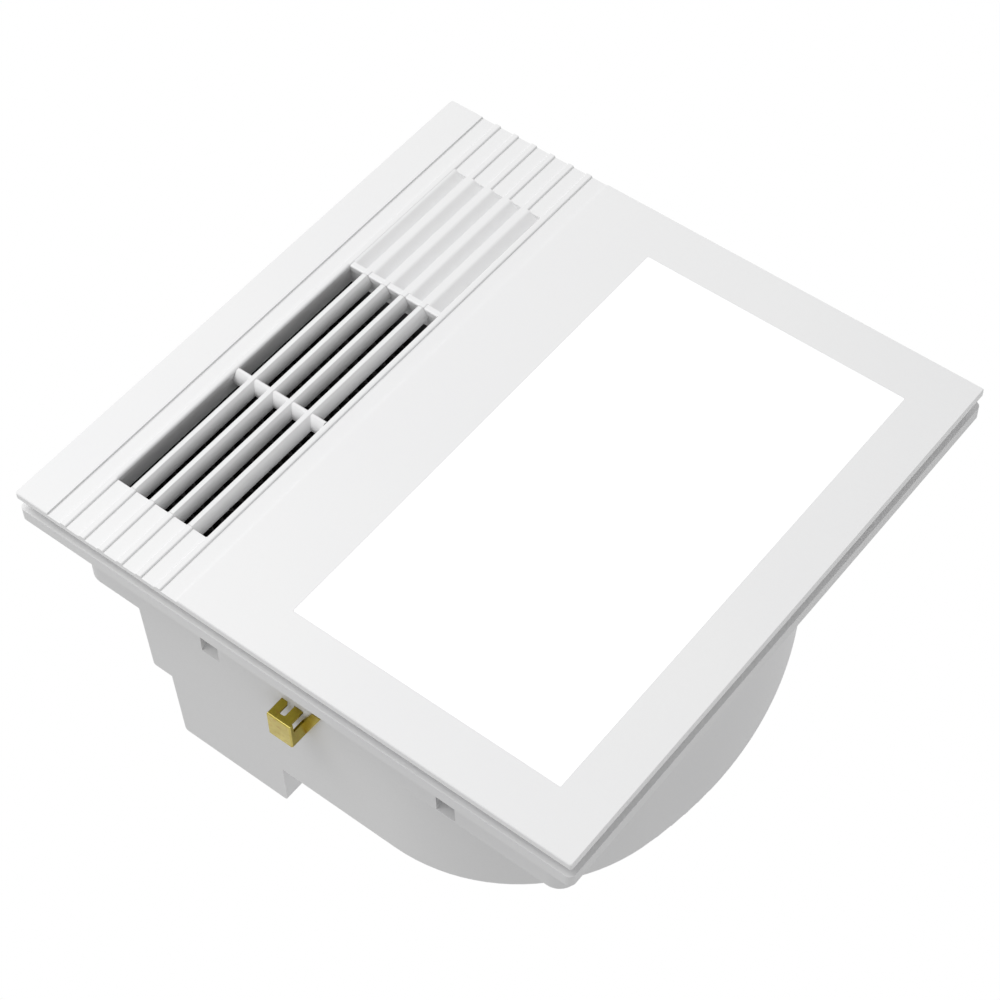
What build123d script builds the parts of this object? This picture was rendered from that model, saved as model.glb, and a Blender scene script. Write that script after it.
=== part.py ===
from build123d import *
from math import atan2, cos, degrees, radians, sin, sqrt, tan
import os

# Bathroom ceiling heater, in millimetres, as it hangs in use.
# +Z points up into the ceiling void, and Z = 0 is the upper face of the ceiling flange.
# X runs along the ribs of the outlet grille, Y runs across them.

# Room side panel
panel_size = 300.0
plate_thickness = 3.5
plate_chamfer = 0.4
groove_height = 7.2
groove_inset = 5.0
panel_wall = 1.4
panel_corner = 1.2
flange_thickness = 6.8
flange_corner = 3.0
panel_gap = 0.3

# Ribbed band, grille opening and blind bay
band_depth = 1.0
band_margin = 19.0
band_width = 75.0
rib_count = 6
rib_pitch = 10.92
rib_width = 3.3
rib_inset = 9.5
rib_round = 0.7
grille_margin = 32.5
grille_length = 155.4
opening_round = 1.5
bar_width = 3.0
bar_drop = 0.4
bar_round = 0.8
blind_length = 73.6
blind_depth = 3.9
blind_shoulder = 1.0
blind_round = 2.6
blind_floor = 1.4
backing_thickness = 1.5
backing_edge = 0.9

# Outlet grille
grille_depth = 12.0
grille_gap = 0.15
frame_recess = 0.5
frame_wall = 1.4
blade_depth = 7.4
blade_reach = 3.2
blade_bow = 2.2
blade_bow_depth = 1.6
blade_tip = 1.0
cross_width = 2.6
lug_inset = 20.0
lug_offset = 4.5
lug_length = 8.0
lug_width = 6.0
lug_height = 5.0
lug_thickness = 1.5

# Light
window_margin = 25.75
window_back_margin = 24.8
window_width = 139.2
window_corner = 0.6
window_gap = 0.1
diffuser_thickness = 2.0
diffuser_rim = 3.0
rim_thickness = 1.0
rim_gap = 0.3
guide_thickness = 3.0
guide_inset = 1.1
reflector_thickness = 0.4
strip_thickness = 1.0
strip_height = 2.6
strip_lift = 0.2
strip_end = 2.0
chip_count = 30
chip_length = 3.6
chip_thickness = 0.8
chip_height = 1.8
tray_thickness = 1.2
tray_flange = 5.0
tray_clearance = 0.4
tray_corner = 4.0
tray_screw_side = 35.0
tray_screw_end = 80.0
driver_length = 84.0
driver_width = 30.0
driver_height = 15.0
driver_corner = 3.0
driver_ear = 8.0
driver_ear_thickness = 2.0
driver_x = 62.0
driver_shift = 20.0

# Intake slots in the hidden side walls of the panel
slot_count = 15
slot_pitch = 17.0
slot_length = 12.0
slot_height = 4.2

# Housing
wall = 2.5
flange_overhang = 15.0
skirt_height = 46.5
skirt_corner = 9.0
skirt_round = 2.0
flange_hole_radius = 2.25
flange_hole_place = 4.0
casing_height = 106.5
casing_side_radius = 90.0
casing_back_radius = 201.0
casing_back_x = -16.0
casing_corner_radius = 30.0
casing_margin = 15.0
casing_round = 3.0
duct_height = 130.5
duct_front = -24.0
duct_back = -87.0
duct_round = 2.0
duct_inner_round = 1.0
hood_height = 87.5
hood_back = -100.0
hood_end = 15.0
hood_round = 1.5
draft = 2.7
chamber_back = -97.0
chamber_front = -14.0
gusset_wall = 2.5
gusset_foot = 3.5
chamber_gusset_reach = 20.0
chamber_gusset_height = 34.0
chamber_gusset_inset = 18.0
hood_gusset_reach = 18.0
hood_gusset_height = 26.0
hood_gusset_pitch = 40.0
hood_gusset_middle = -50.0

# Hook windows and hooks
hook_places = (-59.0, 73.0)
window_opening = 10.0
window_bottom = 17.0
window_top = 44.0
window_slope = 0.5
window_pad = 1.8
window_pad_border = 2.0
hook_width = 8.0
hook_thickness = 0.8
hook_gap = 1.0
hook_nose = 3.6
hook_nose_height = 8.0
hook_foot = 4.0

# Mounting clips
clip_thickness = 1.2
clip_reach = 10.0
clip_start = -17.2
clip_length = 13.0
clip_bottom = 38.1
clip_height = 15.4
clip_slot = 3.2
clip_slot_round = 1.0
clip_finger = 4.1
clip_finger_round = 1.5
clip_web = 3.4
clip_inner = 8.0
clip_inner_lip = 5.0
clip_play = 0.3
clip_fold = 0.8
clip_wing_cut = 5.7
clip_wing_web = 2.2
clip_wing_gap = 1.0
clip_finger_step = 1.0
clip_foot_reach = 10.3
clip_foot_drop = 21.3
clip_foot_width = 4.6
skin_gap = 0.05

# Fan
fan_x = -50.0
fan_y = 52.0
impeller_radius = 60.0
impeller_bottom = 36.0
impeller_height = 53.0
blade_count = 36
blade_chord = 10.0
blade_sheet = 1.0
blade_turn = 9.0
blade_camber = 2.6
disc_wall = 1.6
ring_width = 3.0
cone_share = 0.62
hub_radius = 9.0
hub_length = 18.0
hub_proud = 1.5
shaft_radius = 4.0
running_gap = 0.05
nut_radius = 6.5
nut_height = 5.0
floor_thickness = 2.5
floor_level = 24.0
floor_right = 28.0
floor_corner = 6.0
floor_gap = 0.5
inlet_radius = 47.0
inlet_lip = 8.0
inlet_lip_wall = 1.6
inlet_flare = 6.0
inlet_bow = 1.5
inlet_bow_height = 3.2
boss_side = 10.0
boss_near = 12.0
boss_far = 108.0
boss_left = -92.0
boss_right = 18.0
liner_wall = 1.8
tongue_angle = 222.0
tongue_radius = 65.0
tongue_lap = 3.6
spiral_end = 462.0
liner_gap = 0.4
outlet_end = -75.0

# Motor
motor_radius = 38.0
motor_wall = 1.2
motor_press = 3.0
motor_lower_depth = 14.0
motor_upper_depth = 14.5
motor_flange = 6.0
motor_vents = 8
vent_length = 14.0
vent_width = 4.0
vent_share = 0.62
bracket_thickness = 1.5
bracket_width = 19.0
motor_hole_gap = 7.0
grommet_radius = 6.0
grommet_neck = 3.6
grommet_lip = 1.5
grommet_ring = 50.0
motor_screw_head = 4.0
stator_height = 19.0
stator_teeth = 12
stator_yoke = 4.0
tooth_width = 4.0
tooth_shoe = 8.4
tooth_shoe_height = 1.7
coil_overhang = 3.5
coil_inset = 2.0
coil_round = 1.2
rotor_radius = 24.0
air_gap = 0.8
bush_radius = 7.0
bush_wall = 1.4
bush_length = 4.5
cap_height = 2.0
cap_thickness = 1.0
shaft_end_gap = 0.4

# Heater
heater_height = 22.0
heater_bottom = 1.0
heater_wall = 1.6
bar_count = 4
bar_thickness = 3.4
bar_inset = 1.0
fin_pitch = 3.2
fin_sheet = 0.4
fin_inset = 1.5
heater_lug_reach = 6.7
heater_lug_thickness = 1.2
heater_screw_side = 20.0
heater_screw_radius = 1.0
terminal_count = 3
terminal_pitch = 8.0
terminal_width = 4.8
terminal_thickness = 0.8
terminal_reach = 10.0
cutout_radius = 7.0
cutout_height = 7.0
cutout_ear = 11.5
cutout_blade = 5.0

# Air guide
guide_wall = 2.0
guide_bottom = 24.0
guide_clearance = 0.3
guide_side_gap = 4.5
guide_post_radius = 3.2
guide_post_inset = 28.0
guide_screw_bite = 1.8
seat_wall = 2.5
seat_play = 0.3
seat_side_gap = 0.4

# Changeover flap
flap_offset = 4.1
flap_z = 53.5
flap_thickness = 2.0
flap_gap = 0.6
flap_chamfer = 5.0
flap_rib = 1.6
flap_rib_inset = 14.0
flap_shaft_radius = 2.5
flap_barrel = 3.6
seal_thickness = 1.0
seal_inset = 1.0
seal_width = 5.0
flap_room = 6.0
chamber_offset = 24.0
flap_motor_radius = 14.0
flap_motor_length = 19.0
flap_motor_offset = 8.0
flap_motor_ears = 17.5
flap_motor_round = 1.5
flap_shaft_grip = 3.0
flap_shaft_proud = 1.6
flap_ear = 3.5
flap_ear_thickness = 1.0
flap_plug_width = 15.0
flap_plug_height = 3.0
flap_plug_inset = 2.0
flap_pad_depth = 4.0
flap_pad_height = 30.0

# Exhaust spigot
spigot_radius = 39.0
spigot_wall = 2.0
spigot_length = 38.0
spigot_plate = 3.0
spigot_screw_pitch = 70.0
gasket_thickness = 1.5
gasket_step = 2.0
leaf_gap = 0.8
leaf_thickness = 1.2
leaf_place = 12.0
leaf_pin_radius = 1.5
knuckle_radius = 2.8
knuckle_gap = 0.5
knuckle_inset = 3.0
leaf_slot = 0.4
seat_ring = 2.4
seat_ring_thickness = 2.0
seat_ring_gap = 0.3

# Wiring box
box_margin = 49.0
box_y = 33.0
box_size = 78.0
box_wall = 2.0
box_corner = 4.0
box_bottom = 88.0
box_top = 126.5
box_flange = 6.0
box_post_inset = 5.5
box_post_radius = 4.0
box_gap = 0.5
cover_thickness = 2.0
cover_vents = 6
cover_vent_pitch = 8.0
cover_vent_length = 34.0
cover_vent_width = 3.0
cover_vent_shift = 20.0
cable_hole_radius = 6.5
cable_bore_radius = 4.5
cable_y = 20.0
grommet_flange = 1.6
grommet_rim = 2.0
board_length = 56.0
board_width = 40.0
board_thickness = 1.6
board_shift = 14.0
board_lift = 6.0
board_post_x = 24.0
board_post_y = 15.0
board_post_radius = 3.0
relay_count = 2
relay_pitch = 17.5
relay_length = 15.5
relay_width = 19.0
relay_height = 15.0
relay_inset = 2.0
capacitor_length = 19.0
capacitor_width = 31.0
capacitor_height = 20.0
capacitor_x = 19.5
capacitor_corner = 2.0
terminal_row = 5
terminal_row_pitch = 10.0
terminal_shift = 24.0
block_length = 52.0
block_width = 16.0
block_height = 16.0
well_radius = 2.4
well_depth = 7.0
well_place = 4.0
wire_hole_radius = 2.0
wire_hole_height = 6.0
clamp_height = 4.0
clamp_gap = 0.2

# Screws
screw_radius = 1.5
thread_gap = 0.05
pilot_radius = 1.2
screw_head = 3.0
screw_head_height = 1.8
recess_share = 0.6
recess_width = 0.8
screw_bite = 5.0

# Levels and places worked out from the sizes above
face_z = -(plate_thickness + groove_height + flange_thickness)
plate_top = face_z + plate_thickness
wall_top = plate_top + groove_height - panel_gap
band_z = face_z + band_depth
half_panel = panel_size / 2
half_skirt = half_panel - flange_overhang
half_inner = half_skirt - wall
shelf_z = skirt_height - wall
casing_right = half_skirt - casing_margin
box_x = casing_right - box_margin
window_length = panel_size - 2 * window_margin
window_y = half_panel - window_back_margin - window_width / 2
casing_ceiling = casing_height - wall
duct_ceiling = duct_height - wall
duct_inner_back = duct_back + wall
duct_inner_front = duct_front - wall
lean = tan(radians(draft))
rib_half = rib_width / 2
band_start = band_margin - half_panel
rib_lines = [band_start + rib_inset + index * rib_pitch for index in range(rib_count)]
grille_start = grille_margin - half_panel
grille_end = grille_start + grille_length
grille_middle = (grille_start + grille_end) / 2
opening_start = rib_lines[0] + rib_half
opening_end = rib_lines[-1] - rib_half
blind_start = grille_end + bar_width
blind_end = blind_start + blind_length
flap_x = grille_end + flap_offset
shelf_cut_end = flap_x + flap_room
chamber_start = flap_x + chamber_offset
spigot_y = (chamber_back + chamber_front) / 2
spigot_z = (skirt_height + duct_height) / 2
thread_radius = pilot_radius - thread_gap
head_room = 1.0
clip_end = clip_start + clip_length
clip_finger_start = clip_start + clip_finger + clip_slot
clip_finger_end = clip_end - clip_wing_gap - clip_finger_step

os.makedirs("parts", exist_ok=True)


def save(name, solids):
    """Write one node, a single solid or a group of separate ones."""
    pieces = []
    for item in solids if isinstance(solids, list) else [solids]:
        pieces.extend(item.solids())
    shape = pieces[0] if len(pieces) == 1 else Compound(children=pieces)
    export_step(shape, f"parts/{name}.step")


def block(x0, x1, y0, y1, z0, z1):
    """A box between two corners, given in any order."""
    middle = Pos((x0 + x1) / 2, (y0 + y1) / 2, (z0 + z1) / 2)
    return middle * Box(abs(x1 - x0), abs(y1 - y0), abs(z1 - z0))


def slab(size_x, size_y, radius, z0, z1, x=0.0, y=0.0):
    """A plate with rounded corners, centred on x and y."""
    return Pos(x, y, z0) * extrude(RectangleRounded(size_x, size_y, radius), z1 - z0)


def rod(x, y, radius, z0, z1):
    """An upright round rod."""
    return Pos(x, y, (z0 + z1) / 2) * Cylinder(radius, z1 - z0)


def rod_x(x0, x1, y, z, radius):
    """A round rod along X."""
    return Pos((x0 + x1) / 2, y, z) * Rot(0, 90, 0) * Cylinder(radius, x1 - x0)


def rod_y(x, y0, y1, z, radius):
    """A round rod along Y."""
    return Pos(x, (y0 + y1) / 2, z) * Rot(90, 0, 0) * Cylinder(radius, y1 - y0)


def rounded_face(points, rounds):
    """A flat outline through the points, with some of its corners rounded."""
    outline = make_face(Polyline(*points, close=True))
    for corner, radius in rounds:
        nearest = outline.vertices().sort_by_distance(Vector(corner[0], corner[1], 0))[0]
        outline = fillet(nearest, radius)
    return outline


def profile_x(points, x0, x1, rounds=()):
    """An outline of Y and Z points drawn out along X."""
    return extrude(Plane.YZ.offset(x0) * rounded_face(points, rounds), x1 - x0)


def profile_y(points, y0, y1, rounds=()):
    """An outline of X and Z points drawn out along Y."""
    return extrude(Plane.XZ.offset(-y1) * rounded_face(points, rounds), y1 - y0)


def both_sides(shape):
    """A piece and its twin on the other side of the middle plane."""
    return [shape, mirror(shape, about=Plane.YZ)]


def screw_down(x, y, z_head, length, radius=thread_radius, head=screw_head):
    """A screw driven downwards from above, its head on z_head."""
    top = z_head + screw_head_height
    body = rod(x, y, radius, z_head - length, z_head)
    reach = head * recess_share
    recess = block(x - reach, x + reach, y - recess_width / 2, y + recess_width / 2,
                   top - screw_head_height / 2, top)
    return body + rod(x, y, head, z_head, top) - recess


def screw(x, y, z_head, length, radius=thread_radius, head=screw_head):
    """A screw driven upwards from below, its head under z_head."""
    return Pos(x, y, z_head) * Rot(180, 0, 0) * screw_down(0, 0, 0, length, radius, head)


# Housing: one moulded shell with flange, skirt, hood, cross duct and fan casing
def casing_outline(inset):
    """Plan outline of the fan casing, moved inwards by inset."""
    left = -half_skirt + inset
    right = casing_right - inset
    side_radius = casing_side_radius - inset
    back_radius = casing_back_radius - inset
    corner_radius = casing_corner_radius - inset
    side_x = -half_skirt + casing_side_radius
    back_y = half_skirt - casing_back_radius
    reach = casing_back_radius - casing_side_radius
    side_y = back_y + sqrt(reach**2 - (side_x - casing_back_x) ** 2)
    corner_x = casing_right - casing_corner_radius
    reach = casing_back_radius - casing_corner_radius
    corner_y = back_y + sqrt(reach**2 - (corner_x - casing_back_x) ** 2)
    first = degrees(atan2(side_y - back_y, side_x - casing_back_x))
    second = degrees(atan2(corner_y - back_y, corner_x - casing_back_x))
    edges = [
        Line((left, duct_front), (left, side_y)),
        CenterArc((side_x, side_y), side_radius, 180, first - 180),
        CenterArc((casing_back_x, back_y), back_radius, first, second - first),
        CenterArc((corner_x, corner_y), corner_radius, second, -second),
        Line((right, corner_y), (right, duct_front)),
        Line((right, duct_front), (left, duct_front)),
    ]
    return make_face(edges)


def round_duct(x0, x1, y0, y1, z0):
    """The hollow of a duct up to its ceiling, with rounded upper corners."""
    return profile_x([(y0, z0), (y0, duct_ceiling), (y1, duct_ceiling), (y1, z0)], x0, x1,
                     [((y0, duct_ceiling), duct_inner_round), ((y1, duct_ceiling), duct_inner_round)])


def make_duct():
    """The outside of the cross duct, its back leaning by the draft."""
    foot = duct_back - (duct_height - shelf_z) * lean
    points = [(foot, shelf_z), (duct_back, duct_height), (duct_front, duct_height),
              (duct_front, shelf_z)]
    return profile_x(points, -half_skirt, half_skirt, [(points[1], duct_round), (points[2], duct_round)])


def make_hood():
    """The outside of the lower hood behind the duct."""
    foot = hood_back - (hood_height - shelf_z) * lean
    points = [(foot, shelf_z), (hood_back, hood_height), (duct_inner_back, hood_height),
              (duct_inner_back, shelf_z)]
    return profile_x(points, -half_skirt, hood_end, [(points[1], hood_round)])


def make_chamber():
    """The outside of the exhaust chamber at the end of the duct."""
    chamber = block(chamber_start, half_skirt, chamber_back, chamber_front, shelf_z, duct_height)
    upper = chamber.faces().sort_by(Axis.Z)[-1].edges().filter_by(Axis.X)
    return fillet(upper, duct_round)


def make_housing():
    skirt = slab(2 * half_skirt, 2 * half_skirt, skirt_corner, 0, skirt_height)
    skirt = fillet(skirt.faces().sort_by(Axis.Z)[-1].edges(), skirt_round)
    flange = slab(panel_size, panel_size, flange_corner, -flange_thickness, 0)
    casing = Pos(0, 0, shelf_z) * extrude(casing_outline(0), casing_height - shelf_z)
    casing = fillet(casing.faces().sort_by(Axis.Z)[-1].edges(), casing_round)
    shell = skirt + flange + casing + make_hood()
    shell -= slab(2 * half_inner, 2 * half_inner, skirt_corner - wall, -flange_thickness, shelf_z)
    shell -= Pos(0, 0, shelf_z - 1) * extrude(casing_outline(wall), casing_ceiling - shelf_z + 1)
    shell += make_duct()
    shell += make_chamber()
    shell -= round_duct(-half_inner, shelf_cut_end, duct_inner_back, duct_inner_front, shelf_z - 1)
    shell -= round_duct(shelf_cut_end - 1, chamber_start + wall, duct_inner_back,
                        duct_inner_front, skirt_height)
    shell -= round_duct(chamber_start + wall, half_inner, chamber_back + wall,
                        chamber_front - wall, skirt_height)
    shell -= block(-half_inner, hood_end - wall, hood_back + wall, duct_back - 2 * wall,
                   shelf_z - 1, hood_height - wall)
    shell -= block(-half_inner, outlet_end, duct_inner_front - 1, duct_front + 1,
                   shelf_z - 1, casing_ceiling - wall)
    return shell


def gusset(x, foot_y, reach, height):
    """A thin bracket between the shelf and a wall, at one place along X."""
    points = [(foot_y - reach, skirt_height - 1), (foot_y - reach, skirt_height + gusset_foot),
              (foot_y + 1, skirt_height + height), (foot_y + 1, skirt_height - 1)]
    return profile_x(points, x - gusset_wall / 2, x + gusset_wall / 2)


def floor_bosses():
    """Places of the four bosses that carry the scroll floor."""
    inset = half_inner - boss_side / 2
    return [(-inset, boss_near), (-inset, boss_far), (boss_left, inset), (boss_right, inset)]


def boss_block(x, y):
    """A square boss between the skirt wall and the shelf."""
    half = boss_side / 2
    x0 = -half_inner - 1 if x < half - half_inner + 1 else x - half
    y1 = half_inner + 1 if y > half_inner - half - 1 else y + half
    return block(x0, x + half, y - half, y1, floor_level + floor_thickness, shelf_z + 1)


def grommet_places():
    """Centres of the four rubber grommets round the motor."""
    return [(fan_x + grommet_ring * cos(radians(angle)), fan_y + grommet_ring * sin(radians(angle)))
            for angle in (45, 135, 225, 315)]


def box_corners(reach):
    """Four points at the corners of the wiring box."""
    return [(box_x + sx * reach, box_y + sy * reach) for sx in (-1, 1) for sy in (-1, 1)]


def box_flange_corners():
    """Screw places in the flange of the wiring box."""
    return box_corners(box_size / 2 + (box_flange - head_room) / 2)


def spigot_corners():
    """Four screw places in the plate of the exhaust spigot."""
    half = spigot_screw_pitch / 2
    return [(spigot_y + sy * half, spigot_z + sz * half) for sy in (-1, 1) for sz in (-1, 1)]


def guide_posts():
    """Screw places that fix the air guide to the shelf of the housing."""
    line = (guide_y0 + heater_y0 - heater_wall) / 2
    first = guide_x0 + guide_post_inset
    last = guide_x1 - guide_post_inset
    return [(first, line), ((first + last) / 2, line), (last, line)]


def hook_window(middle, place):
    """A window for one hook, with a sloped upper edge on the outside."""
    side = 1 if middle > 0 else -1
    outer = side * (half_skirt + 1)
    inner = side * (half_inner - window_pad - 1)
    depth = half_skirt - half_inner + window_pad + 1
    points = [(outer, window_bottom), (outer, window_top), (side * half_skirt, window_top),
              (inner, window_top - window_slope * depth), (inner, window_bottom)]
    return profile_y(points, place - window_opening / 2, place + window_opening / 2)


def add_hook_windows(shell):
    """Thicker pads inside the skirt, each with the window of one hook."""
    half = window_opening / 2 + window_pad_border
    for place in hook_places:
        for side in (-1, 1):
            shell += block(side * (half_inner - window_pad), side * (half_inner + 1), place - half,
                           place + half, window_bottom - window_pad_border,
                           window_top + window_pad_border)
            shell -= hook_window(side * half_skirt, place)
    return shell


def clip_slot_cutter():
    """The slot in the skirt wall that takes the middle finger of a mounting clip."""
    return block(-half_skirt - 1, -half_inner + 1, clip_finger_start - clip_play,
                 clip_finger_end + clip_play,
                 clip_bottom - clip_play, clip_bottom + clip_thickness + clip_play)


def add_flap_pad(shell):
    """The pad that carries the flap motor, with the holes of the flap's shaft."""
    pad_face = chamber_back + flap_pad_depth
    shell += block(flap_x - chamber_offset, chamber_start, pad_face, duct_inner_back,
                   skirt_height - 1, flap_z + flap_pad_height)
    for y0, y1 in ((pad_face, duct_inner_back), (duct_inner_front, duct_front)):
        shell -= rod_y(flap_x, y0 - 1, y1 + 1, flap_z, flap_shaft_radius + 2 * running_gap)
    for side in (-1, 1):
        shell -= rod_y(flap_x + side * flap_motor_ears, pad_face - 1, pad_face + screw_bite,
                       flap_z + flap_motor_offset, pilot_radius)
    return shell


def add_housing_details(shell):
    """Bosses, gussets, windows and screw holes of the housing."""
    shell = add_flap_pad(shell)
    for x in (chamber_start + chamber_gusset_inset, half_skirt - chamber_gusset_inset):
        shell += gusset(x, chamber_back, chamber_gusset_reach, chamber_gusset_height)
    for index in (-1, 0, 1):
        shell += gusset(hood_gusset_middle + index * hood_gusset_pitch, hood_back,
                        hood_gusset_reach, hood_gusset_height)
    for x, y in floor_bosses():
        shell += boss_block(x, y)
    for x, y in floor_bosses():
        shell -= rod(x, y, pilot_radius, floor_level, shelf_z - wall)
    for x, y in guide_posts():
        shell -= rod(x, y, pilot_radius, shelf_z - 1, guide_lid + guide_screw_bite)
    shell = add_hook_windows(shell)
    for cutter in both_sides(clip_slot_cutter()):
        shell -= cutter
    hole_place = half_skirt + flange_hole_place
    for x in (-hole_place, hole_place):
        for y in (-hole_place, hole_place):
            shell -= rod(x, y, flange_hole_radius, -flange_thickness - 1, 1)
    shell -= rod(fan_x, fan_y, motor_radius + motor_hole_gap, casing_ceiling - 1, casing_height + 1)
    for x, y in grommet_places() + box_flange_corners():
        shell -= rod(x, y, pilot_radius, casing_ceiling - 1, casing_height + 1)
    reach = box_size / 2 + box_gap
    shell -= block(box_x - reach, box_x + reach, box_y - reach, box_y + reach,
                   casing_ceiling - 1, casing_height + 1)
    shell -= rod_x(half_inner - 1, half_skirt + 1, spigot_y, spigot_z, spigot_radius - spigot_wall)
    for y, z in spigot_corners():
        shell -= rod_x(half_inner - 1, half_skirt + 1, y, z, pilot_radius)
    return shell


# Places that the housing shares with the heater and the air guide
guide_x0 = -half_inner + guide_side_gap
guide_x1 = shelf_cut_end - floor_gap
guide_y0 = -half_inner + guide_side_gap / 2
guide_y1 = duct_inner_front - wall / 2
guide_lid = shelf_z - guide_clearance
heater_x0 = grille_start - frame_recess
heater_x1 = grille_end + frame_recess
heater_y0 = opening_start - frame_recess
heater_y1 = opening_end + frame_recess
heater_y = (heater_y0 + heater_y1) / 2
save("main_housing", add_housing_details(make_housing()))


# Face panel: moulded plate with the ribbed band and the inset side wall
def rib_strip(line, x0, x1):
    """One raised rib with soft edges, from inside the band down to the face."""
    foot = band_z + band_depth / 2
    points = [(line - rib_half, foot), (line - rib_half, face_z), (line + rib_half, face_z),
              (line + rib_half, foot)]
    return profile_x(points, x0, x1, [(points[1], rib_round), (points[2], rib_round)])


def opening_cutter():
    """The grille opening, its long edges rounded on the room side."""
    flare = opening_round + window_gap
    top = face_z + blind_depth + backing_thickness + 1
    points = [(opening_start, top), (opening_start, face_z), (opening_start - flare, face_z),
              (opening_start - flare, face_z - 1), (opening_end + flare, face_z - 1),
              (opening_end + flare, face_z), (opening_end, face_z), (opening_end, top)]
    return profile_x(points, grille_start, grille_end,
                     [(points[1], opening_round), (points[6], opening_round)])


def blind_cutter(line):
    """One closed bay: a rounded shoulder, a slope and a narrow floor."""
    start = line + rib_half
    end = line + rib_pitch - rib_half
    floor = face_z + blind_depth
    points = [(start, face_z - 1), (start, face_z), (start + blind_shoulder, face_z),
              (end - blind_floor, floor), (end, floor), (end, face_z - 1)]
    return profile_x(points, blind_start, blind_end, [(points[2], blind_round)])


def add_band(panel):
    """The sunken band with its ribs, the opening, the end bar and the closed bays."""
    panel -= block(-half_panel - 1, half_panel + 1, band_start, band_start + band_width,
                   face_z - 1, band_z)
    panel += block(blind_start - backing_edge, blind_end + bar_width, opening_start, opening_end,
                   face_z + band_depth, face_z + blind_depth + backing_thickness)
    panel += block(blind_start, blind_end, opening_start, opening_end, face_z, plate_top)
    for line in (rib_lines[0], rib_lines[-1]):
        panel += rib_strip(line, -half_panel, half_panel)
    panel -= opening_cutter()
    for line in rib_lines[1:-1]:
        panel += rib_strip(line, -half_panel, grille_start)
        panel += rib_strip(line, blind_end, half_panel)
    points = [(grille_end, plate_top), (grille_end, face_z + bar_drop),
              (blind_start, face_z + bar_drop), (blind_start, plate_top)]
    panel += profile_y(points, opening_start, opening_end, [(points[1], bar_round)])
    for line in rib_lines[1:-1]:
        panel += rib_strip(line, grille_end, blind_start)
    for line in rib_lines[:-1]:
        panel -= blind_cutter(line)
    return panel


def hook_feet():
    """Centres of the pads that carry the spring hooks."""
    return [(side * (half_skirt + hook_foot), place) for side in (-1, 1) for place in hook_places]


def grille_lugs():
    """Centres of the four bosses that hold the outlet grille."""
    offset = frame_recess + frame_wall + lug_offset
    return [(x, y) for x in (grille_start + lug_inset, grille_end - lug_inset)
            for y in (opening_start - offset, opening_end + offset)]


def make_face_panel():
    plate = slab(panel_size, panel_size, panel_corner, face_z, plate_top)
    plate = chamfer(plate.faces().sort_by(Axis.Z)[0].edges(), plate_chamfer)
    reach = half_panel - groove_inset
    outer = 2 * reach
    skirt = slab(outer, outer, panel_corner + 1, plate_top - 1, wall_top)
    inner = outer - 2 * panel_wall
    skirt -= slab(inner, inner, panel_corner, plate_top - 2, wall_top + 1)
    panel = add_band(plate + skirt)
    panel -= slab(window_length + 2 * window_gap, window_width + 2 * window_gap, window_corner,
                  face_z - 1, face_z + diffuser_thickness, 0, window_y)
    rebate = 2 * (diffuser_rim + rim_gap)
    panel -= slab(window_length + rebate, window_width + rebate, window_corner,
                  face_z + diffuser_thickness, plate_top + 1, 0, window_y)
    first_slot = -(slot_count - 1) * slot_pitch / 2
    low = (plate_top + wall_top - slot_height) / 2
    for index in range(slot_count):
        start = first_slot + index * slot_pitch - slot_length / 2
        end = start + slot_length
        panel -= block(reach - panel_wall - 1, reach + 1, start, end, low, low + slot_height)
        panel -= block(start, end, -reach - 1, -reach + panel_wall + 1, low, low + slot_height)
    for x, y in hook_feet():
        panel += block(x - hook_foot, x + hook_foot, y - hook_foot, y + hook_foot, plate_top - 1,
                       plate_top + tray_thickness)
        panel -= rod(x, y, pilot_radius, plate_top - 1, plate_top + tray_thickness + 1)
    for x, y in grille_lugs():
        panel += block(x - lug_length / 2, x + lug_length / 2, y - lug_width / 2,
                       y + lug_width / 2, plate_top - 1, plate_top + lug_height)
        panel -= rod(x, y, pilot_radius, plate_top, plate_top + lug_height + 1)
    return panel


save("face_panel", make_face_panel())


# Outlet grille: a frame behind the panel, its blades carry on the lines of the ribs
def blade_section(half, top):
    """Outline across a blade: ridge at top, bowed flank, thin lower edge."""
    low = face_z + blade_depth
    corner = (-half, top + rib_round)
    tip = (blade_reach - blade_tip, low)
    edges = [
        Line(corner, (rib_round - half, top)),
        Line((rib_round - half, top), (half - rib_round, top)),
        ThreePointArc((half - rib_round, top), (blade_bow, top + blade_bow_depth),
                      (blade_reach, low)),
        Line((blade_reach, low), tip),
        Line(tip, corner),
    ]
    return make_face(edges)


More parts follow.
